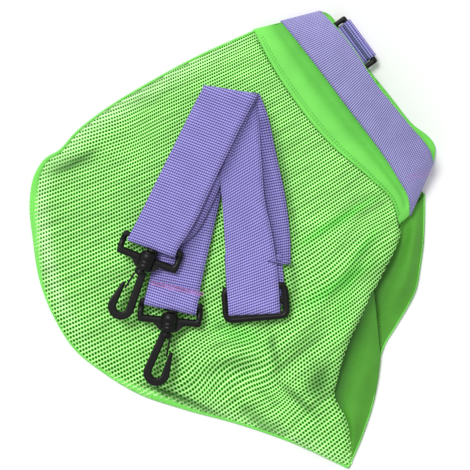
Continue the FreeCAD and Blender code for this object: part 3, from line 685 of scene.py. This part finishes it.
def held_inside(x, y, line, least, step=0.5, least_slope=0.5):
    """Moves points that lie past an offset of a line back onto it."""
    gap = side_of(x, y, line)
    out = gap < least
    if out.any():
        near_x, near_y = x[out], y[out]
        slope_x = (side_of(near_x + step, near_y, line) - side_of(near_x - step, near_y, line)) / (2 * step)
        slope_y = (side_of(near_x, near_y + step, line) - side_of(near_x, near_y - step, line)) / (2 * step)
        size = np.maximum(np.hypot(slope_x, slope_y), least_slope)
        x[out] += slope_x / size * (least - gap[out])
        y[out] += slope_y / size * (least - gap[out])
    return x, y


def to_cloth(x, y):
    """Place on the flat cloth of points in plan."""
    return (np.exp(ROW_FAN * ((x + 1j * y) * np.exp(1j * ROW_TURN))) - 1.0) / ROW_FAN


def from_cloth(onward, across):
    """Plan place of points of the flat cloth, with its rows fanned, turned and pulled."""
    spot = np.log(1.0 + ROW_FAN * (onward + 1j * across)) / ROW_FAN * np.exp(-1j * ROW_TURN)
    return pulled(spot.real, spot.imag)


def highlight_share(edge, where):
    """How much painted highlight pales the mesh at a distance from its edge and a share of the edge's
    length.
    """
    painted_highlight = PALE_BOTTOM * bell(edge, 0.0, BOTTOM_WIDE) * ease((where - BOTTOM_START) / BOTTOM_RISE)
    for strength, inward, wide, place, reach in PALE_SPOTS:
        painted_highlight += strength * bell(edge, inward, wide) * bell(where, place, reach)
    return painted_highlight


def build_mesh_cloth():
    """Sheet of staggered hexagonal holes whose rows fan over the bag."""
    outline = np.concatenate([EDGE_LINE, SEAM_LINE[::-1]])
    reach = to_cloth(outline[:, 0], outline[:, 1])
    half = MESH_PITCH / 2.0
    waist = MESH_ROW - MESH_TIP
    rows = np.arange(math.floor(reach.real.min() / MESH_ROW), math.ceil(reach.real.max() / MESH_ROW))
    columns = np.arange(math.floor(reach.imag.min() / MESH_PITCH), math.ceil(reach.imag.max() / MESH_PITCH))
    row, column = np.meshgrid(rows, columns, indexing="ij")
    onward = row * MESH_ROW
    across = (column + 0.5 * (row % 2)) * MESH_PITCH
    x, y = from_cloth(onward, across)
    keep = (side_of(x, y, EDGE_LINE) > EDGE_ROLL) & (side_of(x, y, SEAM_LINE) > -SEAM_TUCK)
    keep &= past_band(x, y) < BAND_TUCK
    centres = np.stack([onward[keep], across[keep]], axis=-1)

    rim = np.array([
        (MESH_TIP, 0.0), (waist, half), (0.0, half), (-waist, half),
        (-MESH_TIP, 0.0), (-waist, -half), (0.0, -half), (waist, -half),
    ])
    rim_level = np.array([1.0, 1.0, SIDE_RIDGE, 1.0] * 2)
    outer = (centres[:, None, :] + rim).reshape(-1, 2)
    inner = (centres[:, None, :] + rim * (HOLE_LENGTH, HOLE_WIDTH)).reshape(-1, 2)
    keys = np.round(outer * POINTS_PER_MM).astype(int)
    _, first, index = np.unique(keys, axis=0, return_index=True, return_inverse=True)
    cloth = np.concatenate([outer[first], inner])
    level = np.concatenate([np.tile(rim_level, len(centres))[first], np.zeros(len(inner))])
    x, y = from_cloth(cloth[:, 0], cloth[:, 1])
    x, y = held_inside(x, y, SEAM_LINE, -SEAM_TUCK)
    x, y = held_inside(x, y, EDGE_LINE, RIM_ROLL)
    z = mesh_height(x, y) + level * (RIDGE_HEIGHT + HOLE_DROP) - HOLE_DROP

    index = index.reshape(-1, len(rim))
    inside = len(first) + np.arange(len(inner)).reshape(-1, len(rim))
    after = np.roll(np.arange(len(rim)), -1)
    faces = np.stack([index, index[:, after], inside[:, after], inside], axis=-1).reshape(-1, 4)
    places = np.column_stack([cloth[:, 1], cloth[:, 0], np.zeros(len(cloth))])
    obj = mesh_object("mesh_cloth", np.column_stack([x, y, z]), faces, places)
    edge, where, _ = to_line(x, y, EDGE_LINE)
    # Colour masks: the ridge level gives painted shade at the rims and painted highlight on the ridges; the
    # edge mask a painted highlight; the last mask painted shade in creases and beside the strap.
    labels = {
        "ridge": level,
        "painted_highlight": highlight_share(edge, where),
        "drawn": fold_height(x, y, DRAWN),
        "painted_shade": fold_height(x, y, PAINTED_SHADE_LINES) - CREASE_SHADE * fold_height(x, y, FOLDS),
    }
    for label, values in labels.items():
        set_attribute(obj, label, np.clip(values, 0.0, MOST_SHADE))
    return obj


mesh_cloth = install(build_mesh_cloth(), "bag", MESH, "mesh_fabric", "mesh_panel")

# ---- bag: woven back and its side wall

# The side wall folds where these points of the seam and of the floor outline lie.
FOLD_SEAM = 5
FOLD_EDGE = 9
# The wall starts this far under the mesh, but no higher than its top, and runs down to its foot.
SEAM_DROP, WALL_TOP, WALL_FOOT, WALL_CURVE = 6.0, 12.0, 2.2, 1.3
LOWEST_WALL = 1.9
# Heights of the wall's waves: ridge, valley and rise towards the fold between its upper and lower part.
UPPER_WAVES = (5.0, -7.0, -2.5)
LOWER_WAVES = (3.0, -6.0, 5.0)
BACK_HEIGHT = 0.7
# The back is drawn in behind the pale stretch of the edge with painted highlight: depth, share of the edge
# and half width.
DRAWN_IN, DRAWN_AT, DRAWN_WIDE = 4.0, 0.2, 0.16
# Painted shadow on the side wall just below the mesh seam: its strength and half width down the wall.
WALL_SHADE, SHADE_WIDE = 0.8, 0.32


def side_wall(seam, edge, rows=80, columns=30):
    """Plain side wall from a stretch of the seam down to a stretch of the floor outline."""
    seam = smooth_line(seam, rows)
    edge = smooth_line(edge, rows)
    v = np.linspace(0.0, 1.0, columns)
    plan = seam[:, None, :] * (1 - v[None, :, None]) + edge[:, None, :] * v[None, :, None]
    seam_z = np.minimum(panel_top(seam[:, 0], seam[:, 1]) - SEAM_DROP, WALL_TOP)[:, None]
    z = seam_z * (1 - v[None, :]) ** WALL_CURVE + WALL_FOOT * v[None, :]
    return np.concatenate([plan, z[:, :, None]], axis=2)


def build_back(rows=90, columns=40):
    """Flat back between the outlines, and the side wall that comes up over it to the mesh."""
    left = smooth_line(EDGE_LEFT_BOTTOM, rows)
    drawn_in = DRAWN_IN * bell(np.linspace(0.0, 1.0, rows), DRAWN_AT, DRAWN_WIDE)[:, None]
    left = left + drawn_in * leftward(left)
    right = smooth_line(EDGE_RIGHT, rows)
    t = np.linspace(0.0, 1.0, columns)[None, :, None]
    base = left[:, None, :] * (1 - t) + right[:, None, :] * t
    base = np.concatenate([base, np.full(base.shape[:2] + (1,), BACK_HEIGHT)], axis=2)

    # Waves of the wall: u runs along the seam, v from the seam down to the floor.
    upper = side_wall(SEAM_RIGHT[:FOLD_SEAM], EDGE_RIGHT[:FOLD_EDGE])
    lower = side_wall(SEAM_RIGHT[FOLD_SEAM - 1:], EDGE_RIGHT[FOLD_EDGE - 1:])
    u = np.linspace(0.0, 1.0, upper.shape[0])[:, None]
    v = np.linspace(0.0, 1.0, upper.shape[1])[None, :]
    hill = arch(v, margin=0.03, power=0.5)
    ridge, valley, end = UPPER_WAVES
    upper[:, :, 2] += (
        ridge * bell(v, 0.62, 0.2) * ease(u / 0.3) * ease((1.0 - u) / 0.4)
        + valley * bell(v, 0.22, 0.2) * ease(u / 0.3) + end * hill * ease((u - 0.6) / 0.4)
    )
    ridge, valley, start = LOWER_WAVES
    lower[:, :, 2] += (
        ridge * bell(v, 0.65, 0.2) * ease(u / 0.3) * ease((1.0 - u) / 0.3)
        + valley * bell(v, 0.2, 0.18) * ease(u / 0.4) + start * hill * ease((0.4 - u) / 0.4)
    )
    for part in (upper, lower):
        part[:, :, 2] = np.maximum(part[:, :, 2], LOWEST_WALL)
    obj = sheet_object("back_cloth", [base, upper, lower])
    # Painted shadow on the wall beside the seam, fading at the wall's ends; none on the flat back.
    beside = WALL_SHADE * bell(v, 0.0, SHADE_WIDE)
    painted_shade = [np.zeros(base.shape[:2]), beside * ease(u / 0.7), beside * ease((1.0 - u) / 0.2)]
    set_attribute(obj, "painted_shade", np.concatenate([part.ravel() for part in painted_shade]))
    return obj


back_cloth = install(build_back(), "bag", BACK, "woven_fabric", "back_panel")

# ---- bag: binding and right hem

TAPE_THICK = 0.5
# Across the tape from its upper to its lower side: (distance inward from the edge, height).
BINDING_PROFILE = [
    (1.9, 1.4), (2.0, 2.4), (1.5, 3.1), (0.9, 3.2), (0.4, 2.8), (0.1, 2.0), (0.2, 1.1), (0.8, 0.7),
]
HEM_PROFILE = [(1.4, 2.6), (0.9, 3.0), (0.3, 2.6), (0.0, 1.8), (0.3, 1.0)]
# Where the binding reaches further in: centre and half width of the place, share that is added.
BINDING_WIDER = [((-172, -162), 48, 4.2), ((36, -180), 34, 3.6)]


def edge_tube(name, line, profile, widen=1.0):
    """Tape folded over an edge."""
    line = np.asarray(line, float)
    widen = np.broadcast_to(widen, len(line))[:, None]
    inward = leftward(line)
    rows = [np.column_stack([line + inward * reach * widen, np.full(len(line), z)]) for reach, z in profile]
    return sheet_object(name, [np.stack(rows, axis=1)], thick=TAPE_THICK)


binding_line = smooth_line(EDGE_LEFT_BOTTOM, 300)
binding_widen = 1.0 + sum(
    more * bell(np.hypot(*(binding_line - centre).T), 0.0, wide) for centre, wide, more in BINDING_WIDER
)
binding = install(
    edge_tube("binding_tape", binding_line, BINDING_PROFILE, binding_widen),
    "bag", BAND, "hem_fabric", "edge_binding",
)
right_hem = install(
    edge_tube("right_hem", smooth_line(EDGE_RIGHT[::-1], 200), HEM_PROFILE), "bag", BAND, "hem_fabric",
)

# ---- mouth

FLOOR_LIFT = 0.8
# Share of the back's length at each end over which it comes up to the front's corner.
CORNER_SHARE = 0.06
# Points round the mouth, from the middle of its back; its relief stops short of the right corner.
FRONT_COUNT = 90
BACK_COUNT = 60
FRONT_FIRST = BACK_COUNT // 2
RELIEF_COUNT = 80
LINE_POINTS = 200
# A line this far from the mouth's middle shrinks by its whole inset.
MOUTH_REACH = 120.0
# Station 0 is the seam, 1 the webbing's lower edge and 2 the rim.
BAND_SPAN, BAND_ROWS = (-0.06, 2.0), 36
WEBBING_SPAN, WEBBING_ROWS = (1.02, 1.98), 12
BAND_THICK = 1.0
BAND_INSET = WEBBING_THICK + 0.6
WEBBING_INSET = 0.4
BAND_VALLEY = 5.0
WEBBING_STAND = 1.5
BAND_SHADE = 0.34


def crown(fraction, flatness=2.6, shoulder=1.5):
    """Height of the front across the mouth, from 0 at its corners to 1."""
    return (1.0 - np.abs(2.0 * fraction - 1.0) ** flatness) ** (1.0 / shoulder)


def mouth_loop(station, inset):
    """Closed line round the mouth, from the middle of its back over the left corner and the front."""
    k = min(int(station), len(MOUTH_LINES) - 2)
    part = station - k

    def mixed(which, fraction):
        low, high = (smooth_line(MOUTH_LINES[n][which], LINE_POINTS) for n in (k, k + 1))
        line = low + part * (high - low)
        at = np.linspace(0, 1, LINE_POINTS)
        return np.column_stack([np.interp(fraction, at, line[:, axis]) for axis in (0, 1)])

    corner, top = [MOUTH_LINES[k][n] + part * (MOUTH_LINES[k + 1][n] - MOUTH_LINES[k][n]) for n in (2, 3)]
    fraction = 0.5 - 0.5 * np.cos(np.pi * np.linspace(0.0, 1.0, FRONT_COUNT))
    front = mixed(0, fraction)
    front = front + (front.mean(axis=0) - front) * (inset / MOUTH_REACH)
    front_z = corner + (top - inset - corner) * crown(fraction)

    fraction = 0.5 + 0.5 * np.cos(np.pi * np.linspace(0.0, 1.0, BACK_COUNT + 2)[1:-1])
    back = mixed(1, fraction)
    nearest = np.minimum(fraction, 1.0 - fraction) / CORNER_SHARE
    ends = np.where((fraction > 0.5)[:, None], front[-1], front[0])
    back = ends + (back - ends) * ease(nearest)[:, None]
    lowest = inset + FLOOR_LIFT
    back_z = lowest + (corner - lowest) * np.clip(1.0 - nearest, 0.0, 1.0) ** 2

    loop = np.concatenate([np.column_stack([front, front_z]), np.column_stack([back, back_z])])
    loop = np.roll(loop, FRONT_FIRST, axis=0)
    return np.concatenate([loop, loop[:1]])


def build_mouth_sheet(name, span, inset, rows, thick, relief):
    """Sheet round the mouth; relief gives how far its front stands up at each station."""
    stations = np.linspace(*span, rows)
    loops = np.stack([mouth_loop(station, inset) for station in stations], axis=1)
    share = arch(np.linspace(0, 1, RELIEF_COUNT), margin=0.0, power=0.5)[:, None]
    loops[FRONT_FIRST:FRONT_FIRST + RELIEF_COUNT, :, 2] += relief(stations)[None, :] * share
    return sheet_object(name, [loops], thick=thick)


def band_relief(stations):
    """Valley of the hem band just below the webbing."""
    return -BAND_VALLEY * bell(stations, 0.82, 0.22)


def webbing_relief(stations):
    """Lower edge of the webbing standing clear of the band."""
    return WEBBING_STAND * np.clip((1.25 - stations) / 0.2, 0.0, 1.0)


def band_shade():
    """Painted shade of the band in its valley, fading towards the right corner."""
    front = (np.arange(FRONT_COUNT + BACK_COUNT + 1) - FRONT_FIRST) / FRONT_COUNT
    station, front = np.meshgrid(np.linspace(*BAND_SPAN, BAND_ROWS), front)
    return (BAND_SHADE * bell(station, 0.95, 0.45) * ease((0.9 - front) / 0.4)).ravel()


mouth_band = install(
    build_mouth_sheet("mouth_band", BAND_SPAN, BAND_INSET, BAND_ROWS, BAND_THICK, band_relief),
    "bag", BAND, "hem_fabric", "mouth_band_front", "mouth_band_back",
)
set_attribute(mouth_band, "painted_shade", band_shade())
mouth_webbing = install(
    build_mouth_sheet(
        "mouth_webbing_loop", WEBBING_SPAN, WEBBING_INSET, WEBBING_ROWS, WEBBING_THICK, webbing_relief,
    ),
    "bag", MOUTH, "webbing", "mouth_webbing",
)


def on_mouth(x, station, inset):
    """Point on the front of the mouth at a place across it."""
    front = mouth_loop(station, inset)[FRONT_FIRST:FRONT_FIRST + FRONT_COUNT]
    order = np.argsort(front[:, 0])
    return np.array([x] + [np.interp(x, front[order, 0], front[order, c]) for c in (1, 2)])


# Rows of stitches on the front of the mouth, each between two ends (x, station).
HEM_ROWS = [((-180, 0.06), (42, 0.06)), ((-180, 0.13), (42, 0.13))]
LAP_ROWS = [((12, 1.03), (25, 1.88)), ((15, 1.03), (28, 1.88))]
HEM_INSET, LAP_INSET = 1.2, -0.5


def mouth_stitches(rows, inset, length, gap, points):
    """Ends of stitches along rows on the front of the mouth."""
    ends = []
    for start, end in rows:
        line = [on_mouth(x, station, inset) for x, station in np.linspace(start, end, points)]
        ends += along_stitches(line, length, gap)
    return ends


hem_ends = mouth_stitches(HEM_ROWS, HEM_INSET, length=2.4, gap=0.9, points=60)
install(stitches("hem_thread", hem_ends, 0.25), "bag", GREEN, "thread", "hem_stitching")
lap_ends = mouth_stitches(LAP_ROWS, LAP_INSET, length=2.2, gap=0.8, points=20)
install(stitches("lap_thread", lap_ends, 0.3), "bag", PINK, "thread", "webbing_lap_stitching")

# ---- ring tabs

# The ring's bar behind its outer edge, and the tab's radius round it.
BAR_INSET = 2.4
BAR_RADIUS = 3.9
TAB_THICK = 1.2
# Rows of stitches from the tab's root, and their height above it.
TAB_STITCHING = (1.5, 3.5)
TAB_STITCH_LIFT = 3.4

tab_ends = []
for side in ("left", "right"):
    low, high = box_mm("ring_tab_" + side)
    ring_low, ring_high = box_mm("ring_" + side)
    bar_y, bar_z = ring_high[1] - BAR_INSET, 0.5 * (ring_low[2] + ring_high[2])
    # From the root under the bar, round it and back to the root.
    turn = np.linspace(-0.5 * math.pi, 0.5 * math.pi, 9)
    section = [(low[1] + 0.5, low[2] + 1.0), (low[1] + 5, low[2] + 0.9)]
    section += [(bar_y + BAR_RADIUS * math.cos(a), bar_z + BAR_RADIUS * math.sin(a)) for a in turn]
    section += [(bar_y - 3.2, bar_z + 2.4), (bar_y - 5.2, bar_z - 2.5)]
    section += [(low[1] + 5, low[2] + 2.6), (low[1] + 0.5, low[2] + 2.5)]
    section = smooth_line(section, 60)
    across = np.linspace(low[0] + 0.3, high[0] - 0.3, 16)
    grid = np.stack([np.column_stack([np.full(len(section), x), section]) for x in across], axis=1)
    tab = sheet_object("tab_" + side, [grid], thick=TAB_THICK)
    install(tab, "bag", STRAP, "webbing", "ring_tab_" + side)
    for inward in TAB_STITCHING:
        row = [(x, low[1] + inward, low[2] + TAB_STITCH_LIFT) for x in (low[0] + 4, high[0] - 4)]
        tab_ends += along_stitches(row, length=2.2, gap=0.8)
install(stitches("tab_thread", tab_ends, 0.3), "bag", PINK, "thread", "ring_tab_stitching")

# ---- shoulder strap

# Each ribbon's left and right edge, folded over each other and round the bars of the hooks and slider.
LEFT_TOP = ribbon(
    [(-170, 47, 25.5), (-174, 50, 27.5), (-173.5, 50.5, 30.2), (-165, 34, 31), (-135, -24, 31),
     (-108, -76, 31.4), (-100, -92, 31.8), (-97.6, -97, 30.5), (-97, -98, 28), (-98, -96.5, 25.5),
     (-102, -89, 24.2)],
    [(-134, 84, 25.5), (-136, 88, 27.5), (-135.5, 87.5, 30.2), (-127, 70, 31), (-97, 12, 31),
     (-67, -46, 31.4), (-60.2, -64, 31.8), (-56.6, -70.2, 30.5), (-55.9, -71.2, 28), (-57, -69.6, 25.5),
     (-61.6, -62.1, 24.2)],
    90, slant=(0.14, 0.14),
)
LEFT_UNDER = ribbon(
    [(-158, 46, 27), (-128, -16, 26.4), (-103, -66, 25.4), (-98, -84, 24.6)],
    [(-135, 88.5, 28.6), (-115, 54, 28.2), (-94.3, 19.5, 27.6), (-74, -15, 26.8), (-62.5, -42, 26),
     (-62, -58, 24.8)],
    60, slant=(0.1, 0.1),
)
MIDDLE = ribbon(
    [(-146, 0, 24.8), (-110, -39, 24.2), (-64, -92, 21.5), (-44, -115.5, 19.9), (-41, -120.5, 19.5)],
    [(-109, 35, 24.8), (-72, -6, 24.2), (-27, -58, 21.5), (-6, -82, 19.9), (-3, -86, 19.5)],
    60,
)
MIDDLE_TAIL = ribbon(
    [(-41, -120.5, 19.8), (-37.8, -122, 22), (-37.4, -122, 25), (-39.5, -119.5, 27.8),
     (-44, -114.5, 27), (-52, -105, 25)],
    [(-3, -86, 19.8), (0.6, -87.8, 22), (1, -87.6, 25), (-1.2, -85, 27.8), (-6, -80, 27), (-13, -71, 24.6)],
    30,
)
RIGHT_TOP = ribbon(
    [(-166, 52, 26.5), (-128, 28, 27), (-82, 4, 28), (-56, -12, 28.4), (-33, -27, 28.2), (-6, -45.6, 28.6),
     (11.5, -56.5, 29.6), (17.5, -60.5, 29.6), (20.5, -62.5, 28), (19.5, -62, 25.6), (9.5, -56, 24.8),
     (-30, -30, 25.2)],
    [(-138, 88, 26.5), (-112, 72, 27), (-74, 48, 28), (-48, 32, 28.6), (-22, 20.5, 28.4),
     (19.3, -1.8, 28.8), (39.4, -14.8, 29.6), (45.4, -18.8, 29.6), (48.4, -20.8, 28), (47.4, -20.2, 25.6),
     (39.8, -10.8, 24.8), (4, 14, 25.2)],
    120, slant=(0.5, 0.15),
)
RIGHT_UNDER = ribbon(
    [(-158, 46, 25.4), (-120, 24, 25.4), (-80, 12, 25.2), (-40, -4, 25), (-14, -20.5, 25),
     (-11, -22.5, 26.2), (-14, -20.5, 26.6)],
    [(-135.5, 90, 26), (-112, 83, 25.8), (-82, 69.5, 25.6), (-37, 49, 25.4), (2, 26, 25.2), (13, 18, 25.6),
     (16, 15.5, 28.6), (12.5, 17.5, 30.6)],
    70,
)
# Edges in plan of the left and right leg, beside which painted shadow darkens the layers under them.
LEFT_EDGE = [(-136, 86), (-97, 12), (-67, -46), (-60, -62)]
RIGHT_EDGE = [(-112, 72), (-48, 32), (19, -2), (39, -15)]


def shade_beside(layer, line, strength=0.55, reach=9.0):
    """Painted shadow: darker colour of a ribbon close to the edge of a layer that lies over it."""
    x, y = layer[0][:, :, 0], layer[0][:, :, 1]
    return strength * bell(to_line(x, y, line)[0], 0.0, reach)


def build_strap(name, layers):
    """Strap of several ribbons, each with how much painted shade darkens its colour."""
    grids, cloths = zip(*(layer for layer, _ in layers))
    obj = sheet_object(name, grids, cloths, thick=WEBBING_THICK)
    painted_shade = [np.broadcast_to(shade, layer[0].shape[:2]).ravel() for layer, shade in layers]
    set_attribute(obj, "painted_shade", np.concatenate(painted_shade))
    return obj


# Painted shade: the under layers are darker, and painted shadow falls beside the edges of the legs over
# them.
strap_legs = install(
    build_strap("strap_legs", [
        (LEFT_TOP, 0.0),
        (LEFT_UNDER, 0.3),
        (MIDDLE, shade_beside(MIDDLE, LEFT_EDGE, reach=14.0)),
        (MIDDLE_TAIL, 0.0),
        (RIGHT_UNDER, 0.15 + shade_beside(RIGHT_UNDER, RIGHT_EDGE, strength=0.4, reach=7.0)),
    ]),
    "strap", STRAP, "webbing", "strap_webbing",
)
strap_right = install(
    build_strap("strap_right_leg", [(RIGHT_TOP, shade_beside(RIGHT_TOP, LEFT_EDGE))]),
    None, STRAP, "webbing", "strap_turn",
)
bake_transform(strap_right)

# Zigzag rows over the strap's folded end.
TACK_SHIFTS = (0.0, 2.6)
TACK_ENDS = np.array([(-51.0, -103.0, 26.6), (-11.5, -68.5, 26.2)])
TACK_ASIDE = np.array([0.7, -0.7, 0.0])
TACK_ZIGZAG = (0.6, -0.7)
TACK_POINTS = 22

tack = []
for shift in TACK_SHIFTS:
    start, end = TACK_ENDS + shift * TACK_ASIDE
    spots = start + (end - start) * np.linspace(0, 1, TACK_POINTS)[:, None]
    spots[1::2, :2] += TACK_ZIGZAG
    tack += list(zip(spots, spots[1:]))
install(stitches("strap_thread", tack, 0.5), "strap", PINK, "thread", "strap_end_stitching")

# ---- plastic parts

for node in ("ring_left", "ring_right", "slider", "hook_1_loop", "hook_1_body", "hook_1_gate",
             "hook_2_loop", "hook_2_body", "hook_2_gate"):
    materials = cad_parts[node].data.materials
    if materials:
        for k in range(len(materials)):
            materials[k] = PLASTIC
    else:
        materials.append(PLASTIC)


def rod(name, line, wide, high, body, closed=False, sides=12):
    """Moulded bar of oval section along a line in plan at one height."""
    line = np.asarray(line, float)
    onward = directions(line, closed)
    out = np.column_stack([onward[:, 1], -onward[:, 0], np.zeros(len(line))])
    turns = np.linspace(0.0, 2.0 * math.pi, sides, endpoint=False)
    rings = [line + out * wide * math.cos(a) + np.array([0.0, 0.0, high * math.sin(a)]) for a in turns]
    points = np.stack(rings, axis=1)
    if not closed:
        cap = points.mean(axis=1, keepdims=True)
        points = np.concatenate([0.5 * (points[:1] + cap[:1]), points, 0.5 * (points[-1:] + cap[-1:])])
    faces = ring_faces(len(points), sides, closed=closed)
    if not closed:
        last = (len(points) - 1) * sides
        faces += [tuple(range(sides))[::-1], tuple(range(last, last + sides))]
    return install(mesh_object(name, points.reshape(-1, 3), faces), body, PLASTIC, "black_plastic")


def turned(name, profile, origin, angle, body, sides=32):
    """Piece turned round a level axis: profile is (distance along the axis, radius)."""
    onward = np.array([math.cos(angle), math.sin(angle), 0.0])
    side = np.array([-onward[1], onward[0], 0.0])
    up = np.array([0.0, 0.0, 1.0])
    points = []
    for at, radius in profile:
        for k in range(sides):
            turn = 2.0 * math.pi * k / sides
            points.append(origin + onward * at + radius * (math.cos(turn) * side + math.sin(turn) * up))
    faces = ring_faces(len(profile), sides)
    return install(mesh_object(name, points, faces), body, PLASTIC, "black_plastic")


def rounded(corners, radius, closed=False, steps=6):
    """Line through corners in plan with each corner rounded off."""
    corners = np.asarray(corners, float)
    count = len(corners)
    line = []
    for k in range(count):
        if not closed and k in (0, count - 1):
            line.append(corners[k])
            continue
        before = corners[k - 1] - corners[k]
        after = corners[(k + 1) % count] - corners[k]
        start = corners[k] + before / np.linalg.norm(before) * radius
        end = corners[k] + after / np.linalg.norm(after) * radius
        for t in np.linspace(0.0, 1.0, steps):
            line.append((1 - t) ** 2 * start + 2 * t * (1 - t) * corners[k] + t**2 * end)
    return np.array(line)


def in_plan(spots, origin, angle):
    """Spots given as (along, across) from an origin, at the origin's height."""
    spots = np.asarray(spots, float)
    onward = np.array([math.cos(angle), math.sin(angle)])
    side = np.array([-onward[1], onward[0]])
    plan = origin[:2] + spots[:, :1] * onward + spots[:, 1:] * side
    return np.column_stack([plan, np.full(len(plan), origin[2])])


# Each hook loop's middle and heading.
HOOKS = {
    1: (np.array([-79.5, -79.4, 28.0]), math.radians(-57.0)),
    2: (np.array([-22.0, -100.4, 23.8]), math.radians(-42.5)),
}
# The moulded frame over the loop, (along, across), and half its width at its sides and front.
FRAME = rounded([(2.5, -28.8), (17.0, -28.8), (17.0, 28.8), (2.5, 28.8)], radius=5.0)
FRAME_WIDE = np.where(FRAME[:, :1] > 15.0, 3.7, 3.0)
FRAME_HIGH = 2.6
# The barrel that the hook turns in, with its grooves: (along, radius).
BARREL = [
    (8.6, 0.0), (8.7, 3.0), (9.2, 5.4), (10.4, 7.2), (12.4, 8.3), (15.0, 8.7), (17.6, 8.3), (18.6, 7.8),
    (19.2, 7.75), (19.8, 8.2), (21.6, 8.2), (22.2, 7.75), (22.9, 7.75), (23.5, 8.1), (25.2, 8.0),
    (25.8, 7.7), (27.2, 7.6), (27.9, 7.0), (28.0, 5.6), (27.6, 4.0),
]
SLIDER_ORIGIN = np.array([25.1, -33.8, 27.2])
SLIDER_ANGLE = math.radians(-31.4)
SLIDER_RIM = rounded([(15.8, -29.3), (15.8, 30.4), (-14.4, 30.4), (-14.4, -29.3)], radius=7.0, closed=True)
SLIDER_WIDE, SLIDER_HIGH = 3.0, 2.3

for index, (origin, angle) in HOOKS.items():
    body = "hook_%d_loop" % index
    rod("hook_%d_frame" % index, in_plan(FRAME, origin, angle), FRAME_WIDE, FRAME_HIGH, body)
    turned("hook_%d_barrel" % index, BARREL, origin, angle, body)
slider_line = in_plan(SLIDER_RIM, SLIDER_ORIGIN, SLIDER_ANGLE)
rod("slider_rim", slider_line, SLIDER_WIDE, SLIDER_HIGH, "slider", closed=True)

# ---- floor, light and camera

FLOOR_SIZE = 16.0
SKY_STRENGTH = 0.62
SUN_STRENGTH = 2.0
SUN_SPREAD = math.radians(22.0)
SUN_HEADING = (0.62, 0.05, -1.0)
# The camera looks straight down, turned so that the mouth points up and to the right.
CAMERA_HEIGHT = 1.5
CAMERA_FIELD = 0.4651
CAMERA_OVER = (-0.0388, -0.0109)
CAMERA_TURN = math.atan2(0.805, 0.593)

bpy.ops.mesh.primitive_plane_add(size=FLOOR_SIZE, location=(0, 0, 0))
floor = bpy.context.object
floor.name = "floor"
floor_nodes = Nodes("floor_paper", 0.9, specular=0.0)
paper = floor_nodes.ramp(floor_nodes.noise(3.0), (0.0, (0.9,) * 3), (1.0, (0.93,) * 3))
floor.data.materials.append(floor_nodes.finish(paper, floor_nodes.noise(400.0), 0.02))

world = bpy.data.worlds.new("studio")
scene.world = world
world.use_nodes = True
sky = world.node_tree.nodes["Background"].inputs
sky["Color"].default_value = (1.0, 1.0, 1.0, 1.0)
sky["Strength"].default_value = SKY_STRENGTH

sun = bpy.data.lights.new("key", "SUN")
sun.energy = SUN_STRENGTH
sun.angle = SUN_SPREAD
key = bpy.data.objects.new("key", sun)
key.rotation_euler = Vector(SUN_HEADING).to_track_quat("-Z", "Y").to_euler()
scene.collection.objects.link(key)

camera_data = bpy.data.cameras.new("camera")
camera_data.sensor_width = 36.0
camera_data.lens = camera_data.sensor_width * CAMERA_HEIGHT / CAMERA_FIELD
camera = bpy.data.objects.new("camera", camera_data)
camera.location = (*CAMERA_OVER, CAMERA_HEIGHT)
camera.rotation_euler = Euler((0.0, 0.0, CAMERA_TURN))
scene.collection.objects.link(camera)
scene.camera = camera
scene.view_settings.view_transform = "Standard"
